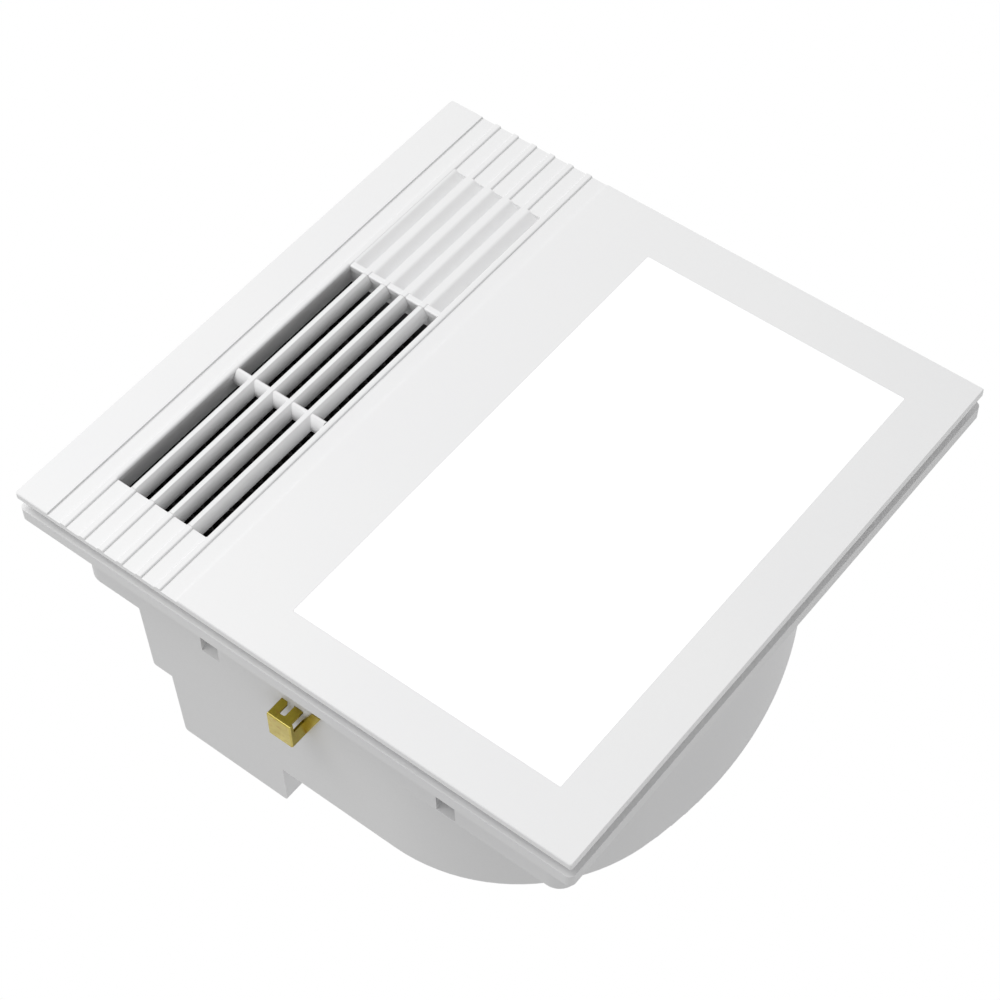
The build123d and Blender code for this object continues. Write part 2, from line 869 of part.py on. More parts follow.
def make_grille():
    low = plate_top + grille_gap
    back = face_z + grille_depth
    frame = block(heater_x0 - frame_wall, heater_x1 + frame_wall, heater_y0 - frame_wall,
                  heater_y1 + frame_wall, low, back)
    frame -= block(heater_x0, heater_x1, heater_y0, heater_y1, low - 1, back + 1)
    rungs = []
    section = blade_section(rib_half, face_z)
    for line in rib_lines[1:-1]:
        start = Plane((heater_x0 - frame_wall / 2, line, 0), x_dir=(0, 1, 0), z_dir=(1, 0, 0))
        rungs.append(extrude(start * section, heater_x1 - heater_x0 + frame_wall))
    start = Plane((grille_middle, heater_y0 - frame_wall / 2, 0), x_dir=(-1, 0, 0), z_dir=(0, 1, 0))
    cross = extrude(start * blade_section(cross_width / 2, face_z + bar_drop),
                    heater_y1 - heater_y0 + frame_wall)
    clear = block(grille_start + grille_gap, grille_end - grille_gap, opening_start + grille_gap,
                  opening_end - grille_gap, face_z, low)
    clear += block(heater_x0 - frame_wall, heater_x1 + frame_wall, heater_y0 - frame_wall,
                   heater_y1 + frame_wall, low, back)
    grille = frame + ((cross + rungs) & clear)
    for x, y in grille_lugs():
        edge = heater_y0 - frame_wall / 2 if y < heater_y0 else heater_y1 + frame_wall / 2
        end = y - lug_width / 2 if y < heater_y0 else y + lug_width / 2
        lug = block(x - lug_length / 2, x + lug_length / 2, edge, end, plate_top + lug_height,
                    plate_top + lug_height + lug_thickness)
        grille += lug
        grille -= rod(x, y, screw_radius, plate_top, plate_top + lug_height + lug_thickness + 1)
    return grille


save("outlet_grille", make_grille())
save("grille_screws", [screw_down(x, y, plate_top + lug_height + lug_thickness, screw_bite)
                       for x, y in grille_lugs()])

# Light: opal diffuser, light guide, reflector, LED strips and the tray that holds them
diffuser_back = face_z + diffuser_thickness
rim_top = diffuser_back + rim_thickness
window_tight = window_corner - window_gap
diffuser = slab(window_length, window_width, window_tight, face_z, diffuser_back, 0, window_y)
diffuser += slab(window_length + 2 * diffuser_rim, window_width + 2 * diffuser_rim, window_tight,
                 diffuser_back, rim_top, 0, window_y)
save("light_diffuser", diffuser)

guide_length = window_length - 2 * guide_inset
guide_width = window_width - 2 * guide_inset
guide_top = rim_top + guide_thickness
save("light_guide", slab(guide_length, guide_width, window_tight, rim_top, guide_top, 0, window_y))

reflector_top = guide_top + reflector_thickness
tray_level = plate_top + tray_thickness
tray_top = reflector_top + tray_thickness
save("light_reflector", slab(guide_length, guide_width, window_tight, guide_top, reflector_top,
                             0, window_y))


def light_strips():
    """The two LED boards, along the long edges of the light guide."""
    reach = guide_length / 2 - strip_end
    base = rim_top + strip_lift
    strips = []
    for side in (-1, 1):
        near = window_y + side * (guide_width / 2 + chip_thickness)
        strips.append(block(-reach, reach, near, near + side * strip_thickness, base,
                            base + strip_height))
    return strips


def light_chips():
    """The LED chips between the boards and the edges of the guide."""
    pitch = guide_length / chip_count
    base = rim_top + strip_lift + (strip_height - chip_height) / 2
    chips = []
    for side in (-1, 1):
        edge = window_y + side * guide_width / 2
        for index in range(chip_count):
            x = -guide_length / 2 + (index + 0.5) * pitch
            chips.append(block(x - chip_length / 2, x + chip_length / 2, edge,
                               edge + side * chip_thickness, base, base + chip_height))
    return chips


save("led_strips", light_strips())
save("led_chips", light_chips())


def tray_screw_places():
    """Screws along the flange of the light tray."""
    border = diffuser_rim + rim_gap + tray_flange / 2
    half_x = window_length / 2 + border
    half_y = window_width / 2 + border
    sides = [(sx * half_x, window_y + sy * tray_screw_side) for sx in (-1, 1) for sy in (-1, 1)]
    ends = [(sx * tray_screw_end, window_y + sy * half_y) for sx in (-1, 1) for sy in (-1, 1)]
    return sides + ends


def make_light_tray():
    cavity_x = guide_length + 2 * tray_clearance
    cavity_y = guide_width + 2 * (chip_thickness + strip_thickness + tray_clearance)
    border = 2 * (diffuser_rim + rim_gap + tray_flange)
    inner_corner = tray_corner / 2
    tray = slab(window_length + border, window_width + border, tray_corner, plate_top,
                tray_level, 0, window_y)
    tray += slab(cavity_x + 2 * tray_thickness, cavity_y + 2 * tray_thickness,
                 inner_corner + tray_thickness, plate_top, tray_top, 0, window_y)
    tray -= slab(cavity_x, cavity_y, inner_corner, plate_top - 1, reflector_top, 0, window_y)
    for x, y in tray_screw_places():
        tray -= rod(x, y, screw_radius, plate_top - 1, tray_level + 1)
    return tray


save("light_tray", make_light_tray())
save("light_tray_screws", [screw_down(x, y, tray_level, tray_thickness - 2 * thread_gap,
                                      screw_radius - 2 * thread_gap)
                           for x, y in tray_screw_places()])

driver_y = window_y + driver_shift
driver = block(driver_x - driver_length / 2, driver_x + driver_length / 2, driver_y - driver_width / 2,
               driver_y + driver_width / 2, tray_top, tray_top + driver_height)
driver = fillet(driver.edges().filter_by(Axis.Z), driver_corner)
driver += slab(driver_length + 2 * driver_ear, driver_width / 2, driver_corner, tray_top,
               tray_top + driver_ear_thickness, driver_x, driver_y)
save("led_driver", driver)


# Spring hooks that hold the panel in the windows of the housing
def make_hook(x, y):
    side = 1 if x > 0 else -1
    inner = side * (half_inner - window_pad - hook_thickness - hook_gap)
    riser = inner + side * hook_thickness
    y0 = y - hook_width / 2
    y1 = y + hook_width / 2
    foot = block(inner, x + side * hook_foot, y0, y1, tray_level, tray_level + hook_thickness)
    foot -= rod(x, y, screw_radius, tray_level - 1, tray_level + hook_thickness + 1)
    low = window_bottom + hook_gap / 2
    middle = low + hook_nose_height / 2
    top = low + hook_nose_height
    stem = block(inner, riser, y0, y1, tray_level, top)
    nose = profile_y([(riser, low), (riser + side * hook_nose, middle), (riser, top), (inner, top),
                      (inner, low)], y0, y1)
    return foot + stem + nose


save("panel_hooks", [make_hook(x, y) for x, y in hook_feet()])
save("hook_screws", [screw_down(x, y, tray_level + hook_thickness, tray_thickness)
                     for x, y in hook_feet()])


# Mounting clips: bent and slotted zinc-plated sheet on the side walls of the skirt
def make_clip():
    outer = -half_skirt - clip_reach
    skin = -half_skirt - skin_gap
    y1 = clip_end
    z0 = clip_bottom
    z1 = clip_bottom + clip_height
    base_top = z0 + clip_thickness
    face = block(outer, outer + clip_thickness, clip_start, y1, z0, z1)
    base = block(outer, skin, clip_start, y1, z0, base_top)
    slot_start = clip_start + clip_finger
    slot_reach = -half_skirt - outer - clip_web
    base -= slab(2 * slot_reach, clip_slot, clip_slot_round, z0 - 1, base_top + 1, -half_skirt,
                 slot_start + clip_slot / 2)
    base -= block(outer + clip_wing_web, skin + 1, y1 - clip_wing_gap, y1 + 1, z0 - 1,
                  base_top + 1)
    corner_x = skin - clip_finger_round
    corner_y = slot_start - clip_finger_round
    base -= block(corner_x, skin + 1, corner_y, slot_start, z0 - 1, base_top + 1) - rod(
        corner_x, corner_y, clip_finger_round, z0 - 1, base_top + 1)
    inner_end = -half_inner + clip_inner
    finger = block(-half_skirt - 1, inner_end, clip_finger_start, clip_finger_end, z0, base_top)
    lip = block(inner_end - clip_thickness, inner_end, clip_finger_start, clip_finger_end, z0,
                z0 + clip_inner_lip)
    wing_y = y1 - clip_thickness
    wing = block(outer, skin, wing_y, y1, z0, z1)
    wing -= block(outer + clip_wing_web, skin + 1, wing_y - 1, y1 + 1, z0 - 1, z0 + clip_wing_cut)
    foot_y = y1 + clip_foot_reach
    foot_z = z1 - clip_foot_drop
    foot = profile_x([(wing_y, z1), (y1, z1), (foot_y, foot_z), (foot_y - clip_foot_width, foot_z),
                      (wing_y, z0 + clip_wing_cut)], skin - clip_thickness, skin)
    clip = face + base + wing + finger + lip + foot
    fold = clip.edges().filter_by(Axis.Y).sort_by(Axis.X)[:1]
    corner = clip.edges().filter_by(Axis.Z).sort_by(Axis.X)[:2].sort_by(Axis.Y)[-1:]
    return fillet(fold + corner, clip_fold)


save("mounting_clips", both_sides(make_clip()))

# Fan: floor with inlet ring, spiral liner, impeller and hub nut
floor_top = floor_level + floor_thickness
floor_x0 = -half_inner + floor_gap
floor_y0 = duct_inner_front + 2 * floor_gap
floor_y1 = half_inner - floor_gap
floor_plate = slab(floor_right - floor_x0, floor_y1 - floor_y0, floor_corner, floor_level, floor_top,
                   (floor_right + floor_x0) / 2, (floor_y0 + floor_y1) / 2)
flare_radius = inlet_radius + inlet_flare
lip_top = floor_top + inlet_lip
throat = inlet_radius - inlet_lip_wall
bell = Plane.XZ * make_face([
    Line((flare_radius, floor_level), (flare_radius, floor_top)),
    Line((flare_radius, floor_top), (inlet_radius + inlet_lip_wall, floor_top)),
    Line((inlet_radius + inlet_lip_wall, floor_top), (inlet_radius, lip_top)),
    Line((inlet_radius, lip_top), (throat, lip_top)),
    ThreePointArc((throat, lip_top), (inlet_radius + inlet_bow, floor_level + inlet_bow_height),
                  (flare_radius, floor_level)),
])
floor_plate -= rod(fan_x, fan_y, flare_radius - 1, floor_level - 1, floor_top + 1)
floor_plate += Pos(fan_x, fan_y, 0) * revolve(bell, Axis.Z)
for x, y in floor_bosses():
    floor_plate -= rod(x, y, screw_radius, floor_level - 1, floor_top + 1)
notch_half = window_opening / 2 + window_pad_border + hook_gap
notch_reach = half_inner - window_pad - hook_thickness - 3 * hook_gap
for x, y in hook_feet():
    if x < 0 and y > duct_front:
        floor_plate -= block(x, -notch_reach, y - notch_half, y + notch_half, floor_level - 1,
                             floor_top + 1)
save("scroll_floor", floor_plate)
save("scroll_floor_screws", [screw(x, y, floor_level, floor_thickness + 2 * screw_bite)
                             for x, y in floor_bosses()])


def casing_distance(angle):
    """Distance from the fan axis to the inner face of the casing's back arc."""
    away_x = fan_x - casing_back_x
    away_y = fan_y - (half_skirt - casing_back_radius)
    along = away_x * cos(radians(angle)) + away_y * sin(radians(angle))
    reach = casing_back_radius - wall
    return -along + sqrt(along**2 + reach**2 - away_x**2 - away_y**2)


spiral_rate = (casing_distance(spiral_end) - liner_wall - liner_gap - tongue_radius) / (
    spiral_end - tongue_angle)


def spiral_point(angle, extra):
    """A point of the scroll spiral, extra outside its inner face."""
    radius = tongue_radius + (angle - tongue_angle) * spiral_rate + extra
    return (fan_x + radius * cos(radians(angle)), fan_y + radius * sin(radians(angle)))


def make_liner():
    steps = 12
    angles = [tongue_angle + (spiral_end - tongue_angle) * index / steps
              for index in range(steps + 1)]
    inner = [spiral_point(angle, 0) for angle in angles]
    outer = [spiral_point(angle, liner_wall) for angle in angles]
    spiral = make_face([Spline(*inner), Line(inner[-1], outer[-1]), Spline(*outer),
                        Line(outer[0], inner[0])])
    foot_y = duct_front + liner_gap
    ramp = make_face(Polyline(inner[0], spiral_point(tongue_angle + tongue_lap, liner_wall),
                              (outlet_end + 2 * liner_wall, foot_y), (outlet_end, foot_y),
                              close=True))
    height = casing_ceiling - liner_gap - floor_top
    liner = Pos(0, 0, floor_top) * extrude(spiral, height)
    liner += Pos(0, 0, floor_top) * extrude(ramp, height)
    return liner


save("scroll_liner", make_liner())


def blade_face():
    """Plan outline of one curved blade of the fan wheel."""
    inner_radius = impeller_radius - blade_chord
    outer_radius = impeller_radius - thread_gap
    tip = (outer_radius * cos(radians(blade_turn)), outer_radius * sin(radians(blade_turn)))
    bow = ((inner_radius + impeller_radius) / 2, blade_camber)
    back_tip = (tip[0] - blade_sheet / 3, tip[1] + blade_sheet)
    back_bow = (bow[0] - blade_sheet / 3, bow[1] + blade_sheet)
    back_start = (inner_radius, blade_sheet)
    return make_face([
        ThreePointArc((inner_radius, 0), bow, tip),
        Line(tip, back_tip),
        ThreePointArc(back_tip, back_bow, back_start),
        Line(back_start, (inner_radius, 0)),
    ])


def make_impeller():
    top = impeller_bottom + impeller_height
    hub_bottom = top - hub_length
    disc = rod(0, 0, impeller_radius, top - disc_wall, top)
    ring_top = impeller_bottom + ring_width
    ring = rod(0, 0, impeller_radius, impeller_bottom, ring_top)
    ring -= rod(0, 0, impeller_radius - ring_width, impeller_bottom - 1, ring_top + 1)
    neck = hub_radius - disc_wall
    cone = Plane.XZ * make_face(Polyline(
        (neck, top - disc_wall), (impeller_radius * cone_share, top - disc_wall),
        (hub_radius, hub_bottom + hub_length / 4), (neck, hub_bottom + hub_length / 4), close=True))
    single = Pos(0, 0, impeller_bottom + ring_width / 2) * extrude(
        blade_face(), impeller_height - (ring_width + disc_wall) / 2)
    blades = [Rot(0, 0, 360 / blade_count * index) * single for index in range(blade_count)]
    wheel = disc + ring + revolve(cone, Axis.Z) + rod(0, 0, hub_radius, hub_bottom, top + hub_proud)
    wheel = wheel + blades
    wheel -= rod(0, 0, shaft_radius, hub_bottom - 1, top + hub_proud + 1)
    return Pos(fan_x, fan_y, 0) * wheel


save("impeller", make_impeller())

nut_top = impeller_bottom + impeller_height - hub_length
nut_bottom = nut_top - nut_height
nut = Pos(fan_x, fan_y, nut_bottom) * extrude(RegularPolygon(nut_radius, 6), nut_height)
nut -= rod(fan_x, fan_y, shaft_radius, nut_bottom - 1, nut_top + 1)
save("impeller_nut", nut)

# Motor: two pressed shells on a bracket, stator, windings, rotor, shaft and bushes
bracket_z = casing_height + grommet_lip
bracket_top = bracket_z + bracket_thickness
lower_bottom = bracket_z - motor_lower_depth
upper_top = bracket_top + motor_upper_depth
shell_inner = motor_radius - motor_wall
bush_seat = bush_radius + bush_wall


def ring_z(outer, inner, z0, z1):
    """An upright ring round the fan axis."""
    return rod(fan_x, fan_y, outer, z0, z1) - rod(fan_x, fan_y, inner, z0 - 1, z1 + 1)


def pressed_cup(z_mouth, z_end):
    """A pressed cup round the fan axis: flange at its mouth, rounded end."""
    way = 1 if z_end > z_mouth else -1
    solids = []
    for radius, inset, press in ((motor_radius, 0, motor_press),
                                 (shell_inner, motor_wall, motor_press - motor_wall)):
        end = z_end - way * inset
        start = z_mouth - way * inset
        body = rod(fan_x, fan_y, radius, min(start, end), max(start, end))
        rim = body.edges().filter_by(GeomType.CIRCLE).sort_by(Axis.Z)
        solids.append(fillet(rim[-1:] if way > 0 else rim[:1], press))
    flange_end = z_mouth + way * motor_wall
    flange = ring_z(motor_radius + motor_flange, shell_inner, min(z_mouth, flange_end),
                    max(z_mouth, flange_end))
    return solids[0] + flange - solids[1]


def shell_vents(z0, z1):
    """Slots in the end face of a motor shell."""
    cuts = []
    for index in range(motor_vents):
        slot = extrude(Pos(shell_inner * vent_share, 0) * SlotOverall(vent_length, vent_width),
                       z1 - z0)
        turn = 360 / motor_vents * (index + 0.5)
        cuts.append(Pos(fan_x, fan_y, z0) * Rot(0, 0, turn) * slot)
    return cuts


lower_shell = pressed_cup(bracket_z, lower_bottom)
lower_shell += ring_z(bush_seat, bush_radius, lower_bottom, lower_bottom + bush_length)
lower_shell -= rod(fan_x, fan_y, bush_radius, lower_bottom - 1, lower_bottom + bush_length)
lower_shell -= shell_vents(lower_bottom - 1, lower_bottom + motor_wall + 1)
save("motor_lower_shell", lower_shell)

cap_z = upper_top + cap_height
upper_shell = pressed_cup(bracket_top, upper_top)
upper_shell += rod(fan_x, fan_y, bush_seat, upper_top - bush_length, cap_z + cap_thickness)
upper_shell -= rod(fan_x, fan_y, bush_radius, upper_top - bush_length - 1, cap_z)
upper_shell -= shell_vents(upper_top - motor_wall - 1, upper_top + 1)
save("motor_upper_shell", upper_shell)

bracket = ring_z(motor_radius + bracket_width, shell_inner, bracket_z, bracket_top)
for x, y in grommet_places():
    bracket -= rod(x, y, grommet_neck, bracket_z - 1, bracket_top + 1)
save("motor_bracket", bracket)

grommet_top = bracket_top + grommet_lip
grommets = []
for x, y in grommet_places():
    spool = rod(x, y, grommet_radius, casing_height, bracket_z)
    spool += rod(x, y, grommet_neck, bracket_z - 1, bracket_top + 1)
    spool += rod(x, y, grommet_radius, bracket_top, grommet_top)
    grommets.append(spool - rod(x, y, screw_radius, casing_height - 1, grommet_top + 1))
save("motor_grommets", grommets)
save("motor_screws", [screw_down(x, y, grommet_top, grommet_top - casing_ceiling, thread_radius,
                                 motor_screw_head) for x, y in grommet_places()])

stator_bottom = bracket_z + (bracket_thickness - stator_height) / 2
stator_top = stator_bottom + stator_height
tooth_inner = rotor_radius + air_gap
stator = ring_z(shell_inner, shell_inner - stator_yoke, stator_bottom, stator_top)
for index in range(stator_teeth):
    tooth = block(tooth_inner, shell_inner - stator_yoke / 2, -tooth_width / 2, tooth_width / 2,
                  stator_bottom, stator_top)
    shoe = block(tooth_inner, tooth_inner + tooth_shoe_height, -tooth_shoe / 2, tooth_shoe / 2,
                 stator_bottom, stator_top)
    stator += Pos(fan_x, fan_y, 0) * Rot(0, 0, 360 / stator_teeth * index) * (tooth + shoe)
save("motor_stator", stator)

windings = []
for z0 in (stator_bottom - coil_overhang, stator_top):
    coil = ring_z(shell_inner - coil_inset, tooth_inner + tooth_shoe_height, z0, z0 + coil_overhang)
    windings.append(fillet(coil.edges().filter_by(GeomType.CIRCLE), coil_round))
save("motor_windings", windings)

save("motor_rotor", ring_z(rotor_radius, shaft_radius, stator_bottom, stator_top))
save("motor_shaft", rod(fan_x, fan_y, shaft_radius, nut_bottom - cap_height, cap_z - shaft_end_gap))
bush_bore = shaft_radius + running_gap
save("motor_bushes", [
    ring_z(bush_radius, bush_bore, lower_bottom, lower_bottom + bush_length),
    ring_z(bush_radius, bush_bore, upper_top - bush_length, upper_top),
])


# Air guide: tray under the cross duct, with the seat of the changeover flap
def heater_places():
    """Screw places that fix the heater frame to the air guide."""
    reach = heater_wall + heater_lug_reach / 2
    return [(x, heater_y + side * heater_screw_side)
            for x in (heater_x0 - reach, heater_x1 + reach) for side in (-1, 1)]


def make_guide():
    seat_height = flap_z - flap_thickness / 2 - seal_thickness - seat_play
    seat_start = flap_x - (duct_ceiling - flap_gap - flap_z) + seal_inset
    seat_end = flap_x - flap_barrel - seal_inset
    seat_y0 = duct_inner_back + seat_side_gap
    seat_y1 = guide_y1 - seat_side_gap
    low = guide_bottom - 1
    guide = block(guide_x0, guide_x1, guide_y0, guide_y1, guide_bottom, guide_lid)
    guide -= block(guide_x0 + guide_wall, guide_x1 - guide_wall, guide_y0 + guide_wall,
                   guide_y1 - guide_wall, guide_bottom + guide_wall, guide_lid - guide_wall)
    guide -= block(heater_x0, heater_x1, heater_y0, heater_y1, low, guide_bottom + guide_wall + 1)
    guide += block(seat_start, seat_end, seat_y0, seat_y1, guide_lid - 1, seat_height)
    guide -= block(seat_start + seat_wall, seat_end - seat_wall, seat_y0 + seat_wall,
                   seat_y1 - seat_wall, guide_lid - guide_wall - 1, seat_height + 1)
    guide += block(flap_x - guide_wall / 2, flap_x + guide_wall / 2, seat_y0, seat_y1,
                   guide_lid - 1, flap_z - flap_barrel - flap_gap)
    for x, y in heater_places():
        guide -= rod(x, y, heater_screw_radius + thread_gap, low, guide_bottom + guide_wall + 1)
    for x, y in guide_posts():
        guide += rod(x, y, guide_post_radius, guide_bottom, guide_lid)
        guide -= rod(x, y, screw_radius, low, guide_lid + 1)
    return guide


save("air_guide", make_guide())
save("air_guide_screws", [screw(x, y, guide_bottom, guide_lid - guide_bottom + guide_screw_bite
                                - thread_gap) for x, y in guide_posts()])

# Heater: frame, ceramic heating bars, folded fins, terminals and thermal cut-out
heater_top = heater_bottom + heater_height
grille_back = face_z + grille_depth
lug_z = guide_bottom - heater_lug_thickness
wall_x0 = heater_x0 - heater_wall
wall_x1 = heater_x1 + heater_wall
heater_frame = block(wall_x0 - heater_lug_reach, wall_x1 + heater_lug_reach, heater_y0, heater_y1,
                     lug_z, guide_bottom)
heater_frame += block(wall_x0, wall_x1, heater_y0 - heater_wall, heater_y1 + heater_wall,
                      grille_back + panel_gap, guide_bottom)
heater_frame -= block(heater_x0, heater_x1, heater_y0, heater_y1, grille_back, guide_bottom + 1)
for x, y in heater_places():
    heater_frame -= rod(x, y, heater_screw_radius + 2 * thread_gap, lug_z - 1, guide_bottom + 1)
save("heater_frame", heater_frame)
save("heater_screws", [screw(x, y, lug_z, heater_lug_thickness + guide_wall - 2 * running_gap,
                             heater_screw_radius, 2 * heater_screw_radius)
                       for x, y in heater_places()])

fin_space = (heater_y1 - heater_y0 - bar_count * bar_thickness) / (bar_count + 1)
row_pitch = fin_space + bar_thickness
bars = []
for index in range(bar_count):
    y = heater_y0 + fin_space + index * row_pitch
    bars.append(block(heater_x0, heater_x1, y, y + bar_thickness, heater_bottom + bar_inset,
                      heater_top - bar_inset))
save("heating_bars", bars)


def fin_row(y0):
    """One row of folded sheet between two heating bars."""
    length = heater_x1 - heater_x0
    count = int(length / fin_pitch)
    step = length / count
    low = y0 + fin_sheet / 2 + thread_gap
    high = y0 + fin_space - fin_sheet / 2 - thread_gap
    points = [(heater_x0 + step * (index + 0.5), low if index % 2 else high)
              for index in range(count)]
    upper = [(x, y + fin_sheet / 2) for x, y in points]
    lower = [(x, y - fin_sheet / 2) for x, y in reversed(points)]
    strip = make_face(Polyline(*upper, *lower, close=True))
    return Pos(0, 0, heater_bottom + fin_inset) * extrude(strip, heater_height - 2 * fin_inset)


save("heater_fins", [fin_row(heater_y0 + index * row_pitch) for index in range(bar_count + 1)])

heater_middle = heater_bottom + heater_height / 2
terminals = []
for index in range(terminal_count):
    y = heater_y0 + (index + 1) * terminal_pitch
    terminals.append(block(wall_x1, wall_x1 + terminal_reach, y, y + terminal_width,
                           heater_middle - terminal_thickness / 2,
                           heater_middle + terminal_thickness / 2))
save("heater_terminals", terminals)

cutout_y = heater_y1 - cutout_ear
cutout = rod_x(wall_x1, wall_x1 + cutout_height, cutout_y, heater_middle, cutout_radius)
cutout += block(wall_x1, wall_x1 + 1, cutout_y - cutout_ear, cutout_y + cutout_ear,
                heater_middle - cutout_blade / 2, heater_middle + cutout_blade / 2)
for side in (-1, 1):
    blade_y = cutout_y + side * cutout_radius / 2
    cutout += block(wall_x1 + cutout_height - 1, wall_x1 + cutout_height + cutout_blade,
                    blade_y - terminal_thickness / 2, blade_y + terminal_thickness / 2,
                    heater_middle - cutout_blade / 2, heater_middle + cutout_blade / 2)
save("thermal_cutout", cutout)

# Changeover flap: upright it shuts the exhaust, laid down it shuts the way to the heater
flap_y0 = duct_inner_back + flap_gap
flap_y1 = duct_inner_front - flap_gap
flap_end = duct_ceiling - flap_gap
flap = profile_x([(flap_y0, flap_z), (flap_y0, flap_end - flap_chamfer),
                  (flap_y0 + flap_chamfer, flap_end), (flap_y1 - flap_chamfer, flap_end),
                  (flap_y1, flap_end - flap_chamfer), (flap_y1, flap_z)],
                 flap_x - flap_thickness / 2, flap_x + flap_thickness / 2)
flap += rod_y(flap_x, flap_y0, flap_y1, flap_z, flap_barrel)
for line in (flap_y0 + flap_rib_inset, (flap_y0 + flap_y1) / 2, flap_y1 - flap_rib_inset):
    flap += block(flap_x, flap_x + flap_thickness / 2 + flap_rib, line - flap_rib / 2,
                  line + flap_rib / 2, flap_z, flap_end - flap_chamfer - flap_rib)
flap -= rod_y(flap_x, flap_y0 - 1, flap_y1 + 1, flap_z, flap_shaft_radius)
save("changeover_flap", flap)

seal_x = flap_x - flap_thickness / 2
seal_low = flap_z + flap_barrel + seal_inset
seal_top = flap_end - flap_chamfer
seal_y0 = flap_y0 + seal_inset
seal_y1 = flap_y1 - seal_inset
seal = block(seal_x - seal_thickness, seal_x, seal_y0, seal_y1, seal_low, seal_top)
seal -= block(seal_x - seal_thickness - 1, seal_x + 1, seal_y0 + seal_width, seal_y1 - seal_width,
              seal_low + seal_width, seal_top - seal_width)
save("flap_seal", seal)

pad_y = chamber_back + flap_pad_depth
save("flap_shaft", rod_y(flap_x, pad_y - flap_shaft_grip, duct_front + flap_shaft_proud, flap_z,
                         flap_shaft_radius))


def make_flap_motor():
    motor_z = flap_z + flap_motor_offset
    back = pad_y - flap_motor_length
    ear_reach = flap_motor_ears + flap_ear
    motor = rod_y(flap_x, back, pad_y, motor_z, flap_motor_radius)
    motor = fillet(motor.edges().filter_by(GeomType.CIRCLE).sort_by(Axis.Y)[0], flap_motor_round)
    motor += block(flap_x - ear_reach, flap_x + ear_reach, pad_y - flap_ear_thickness, pad_y,
                   motor_z - flap_ear, motor_z + flap_ear)
    plug_top = motor_z + flap_motor_radius
    motor += block(flap_x - flap_plug_width / 2, flap_x + flap_plug_width / 2, back + flap_plug_inset,
                   pad_y - flap_plug_inset, motor_z, plug_top + flap_plug_height)
    motor -= rod_y(flap_x, pad_y - flap_shaft_grip - 1, pad_y + 1, flap_z,
                   flap_shaft_radius + running_gap)
    for side in (-1, 1):
        motor -= rod_y(flap_x + side * flap_motor_ears, pad_y - 2, pad_y + 1, motor_z, screw_radius)
    return motor


def make_flap_screw(x):
    """One screw that fixes the flap motor to its pad."""
    motor_z = flap_z + flap_motor_offset
    seat = pad_y - flap_ear_thickness
    shank = rod_y(x, seat, pad_y + screw_bite - 1, motor_z, thread_radius)
    return shank + rod_y(x, seat - screw_head_height, seat, motor_z, screw_head)


save("flap_motor", make_flap_motor())
save("flap_motor_screws", [make_flap_screw(flap_x + side * flap_motor_ears) for side in (-1, 1)])

# Exhaust spigot with its gasket, screws and two-leaf back-draught flap
plate_x = half_skirt + gasket_thickness
tube_x = plate_x + spigot_plate
tube_end = tube_x + spigot_length
bore = spigot_radius - spigot_wall
leaf_x = tube_x + leaf_place


def spigot_sheet(x0, x1):
    """A plate on the end face of the exhaust chamber, with rounded corners."""
    outline = RectangleRounded(chamber_front - chamber_back, duct_height - skirt_height, duct_round)
    return extrude(Plane.YZ.offset(x0) * Pos(spigot_y, spigot_z) * outline, x1 - x0)


def make_gasket():
    gasket = spigot_sheet(half_skirt, plate_x)
    gasket -= rod_x(half_skirt - 1, plate_x + 1, spigot_y, spigot_z, bore + gasket_step)
    for y, z in spigot_corners():
        gasket -= rod_x(half_skirt - 1, plate_x + 1, y, z, screw_radius)
    return gasket


def make_spigot():
    seat_face = leaf_x - leaf_thickness / 2 - seat_ring_gap
    seat_back = seat_face - seat_ring_thickness
    spigot = spigot_sheet(plate_x, tube_x)
    spigot += rod_x(plate_x, tube_end, spigot_y, spigot_z, spigot_radius)
    spigot -= rod_x(plate_x - 1, tube_end + 1, spigot_y, spigot_z, bore)
    spigot += rod_x(seat_back, seat_face, spigot_y, spigot_z, bore + seat_ring_gap) - rod_x(
        seat_back - 1, seat_face + 1, spigot_y, spigot_z, bore - seat_ring)
    reach = spigot_radius + 1
    spigot -= rod(leaf_x, spigot_y, leaf_pin_radius, spigot_z - reach, spigot_z + reach)
    for y, z in spigot_corners():
        spigot -= rod_x(plate_x - 1, tube_x + 1, y, z, screw_radius)
    return spigot


def make_spigot_screw(y, z):
    """One screw that fixes the spigot to the exhaust chamber."""
    shank = rod_x(half_inner, tube_x, y, z, thread_radius)
    return shank + rod_x(tube_x, tube_x + screw_head_height, y, z, screw_head)


save("exhaust_gasket", make_gasket())
save("exhaust_spigot", make_spigot())
save("spigot_screws", [make_spigot_screw(y, z) for y, z in spigot_corners()])
save("leaf_pin", rod(leaf_x, spigot_y, leaf_pin_radius, spigot_z - spigot_radius,
                     spigot_z + spigot_radius))


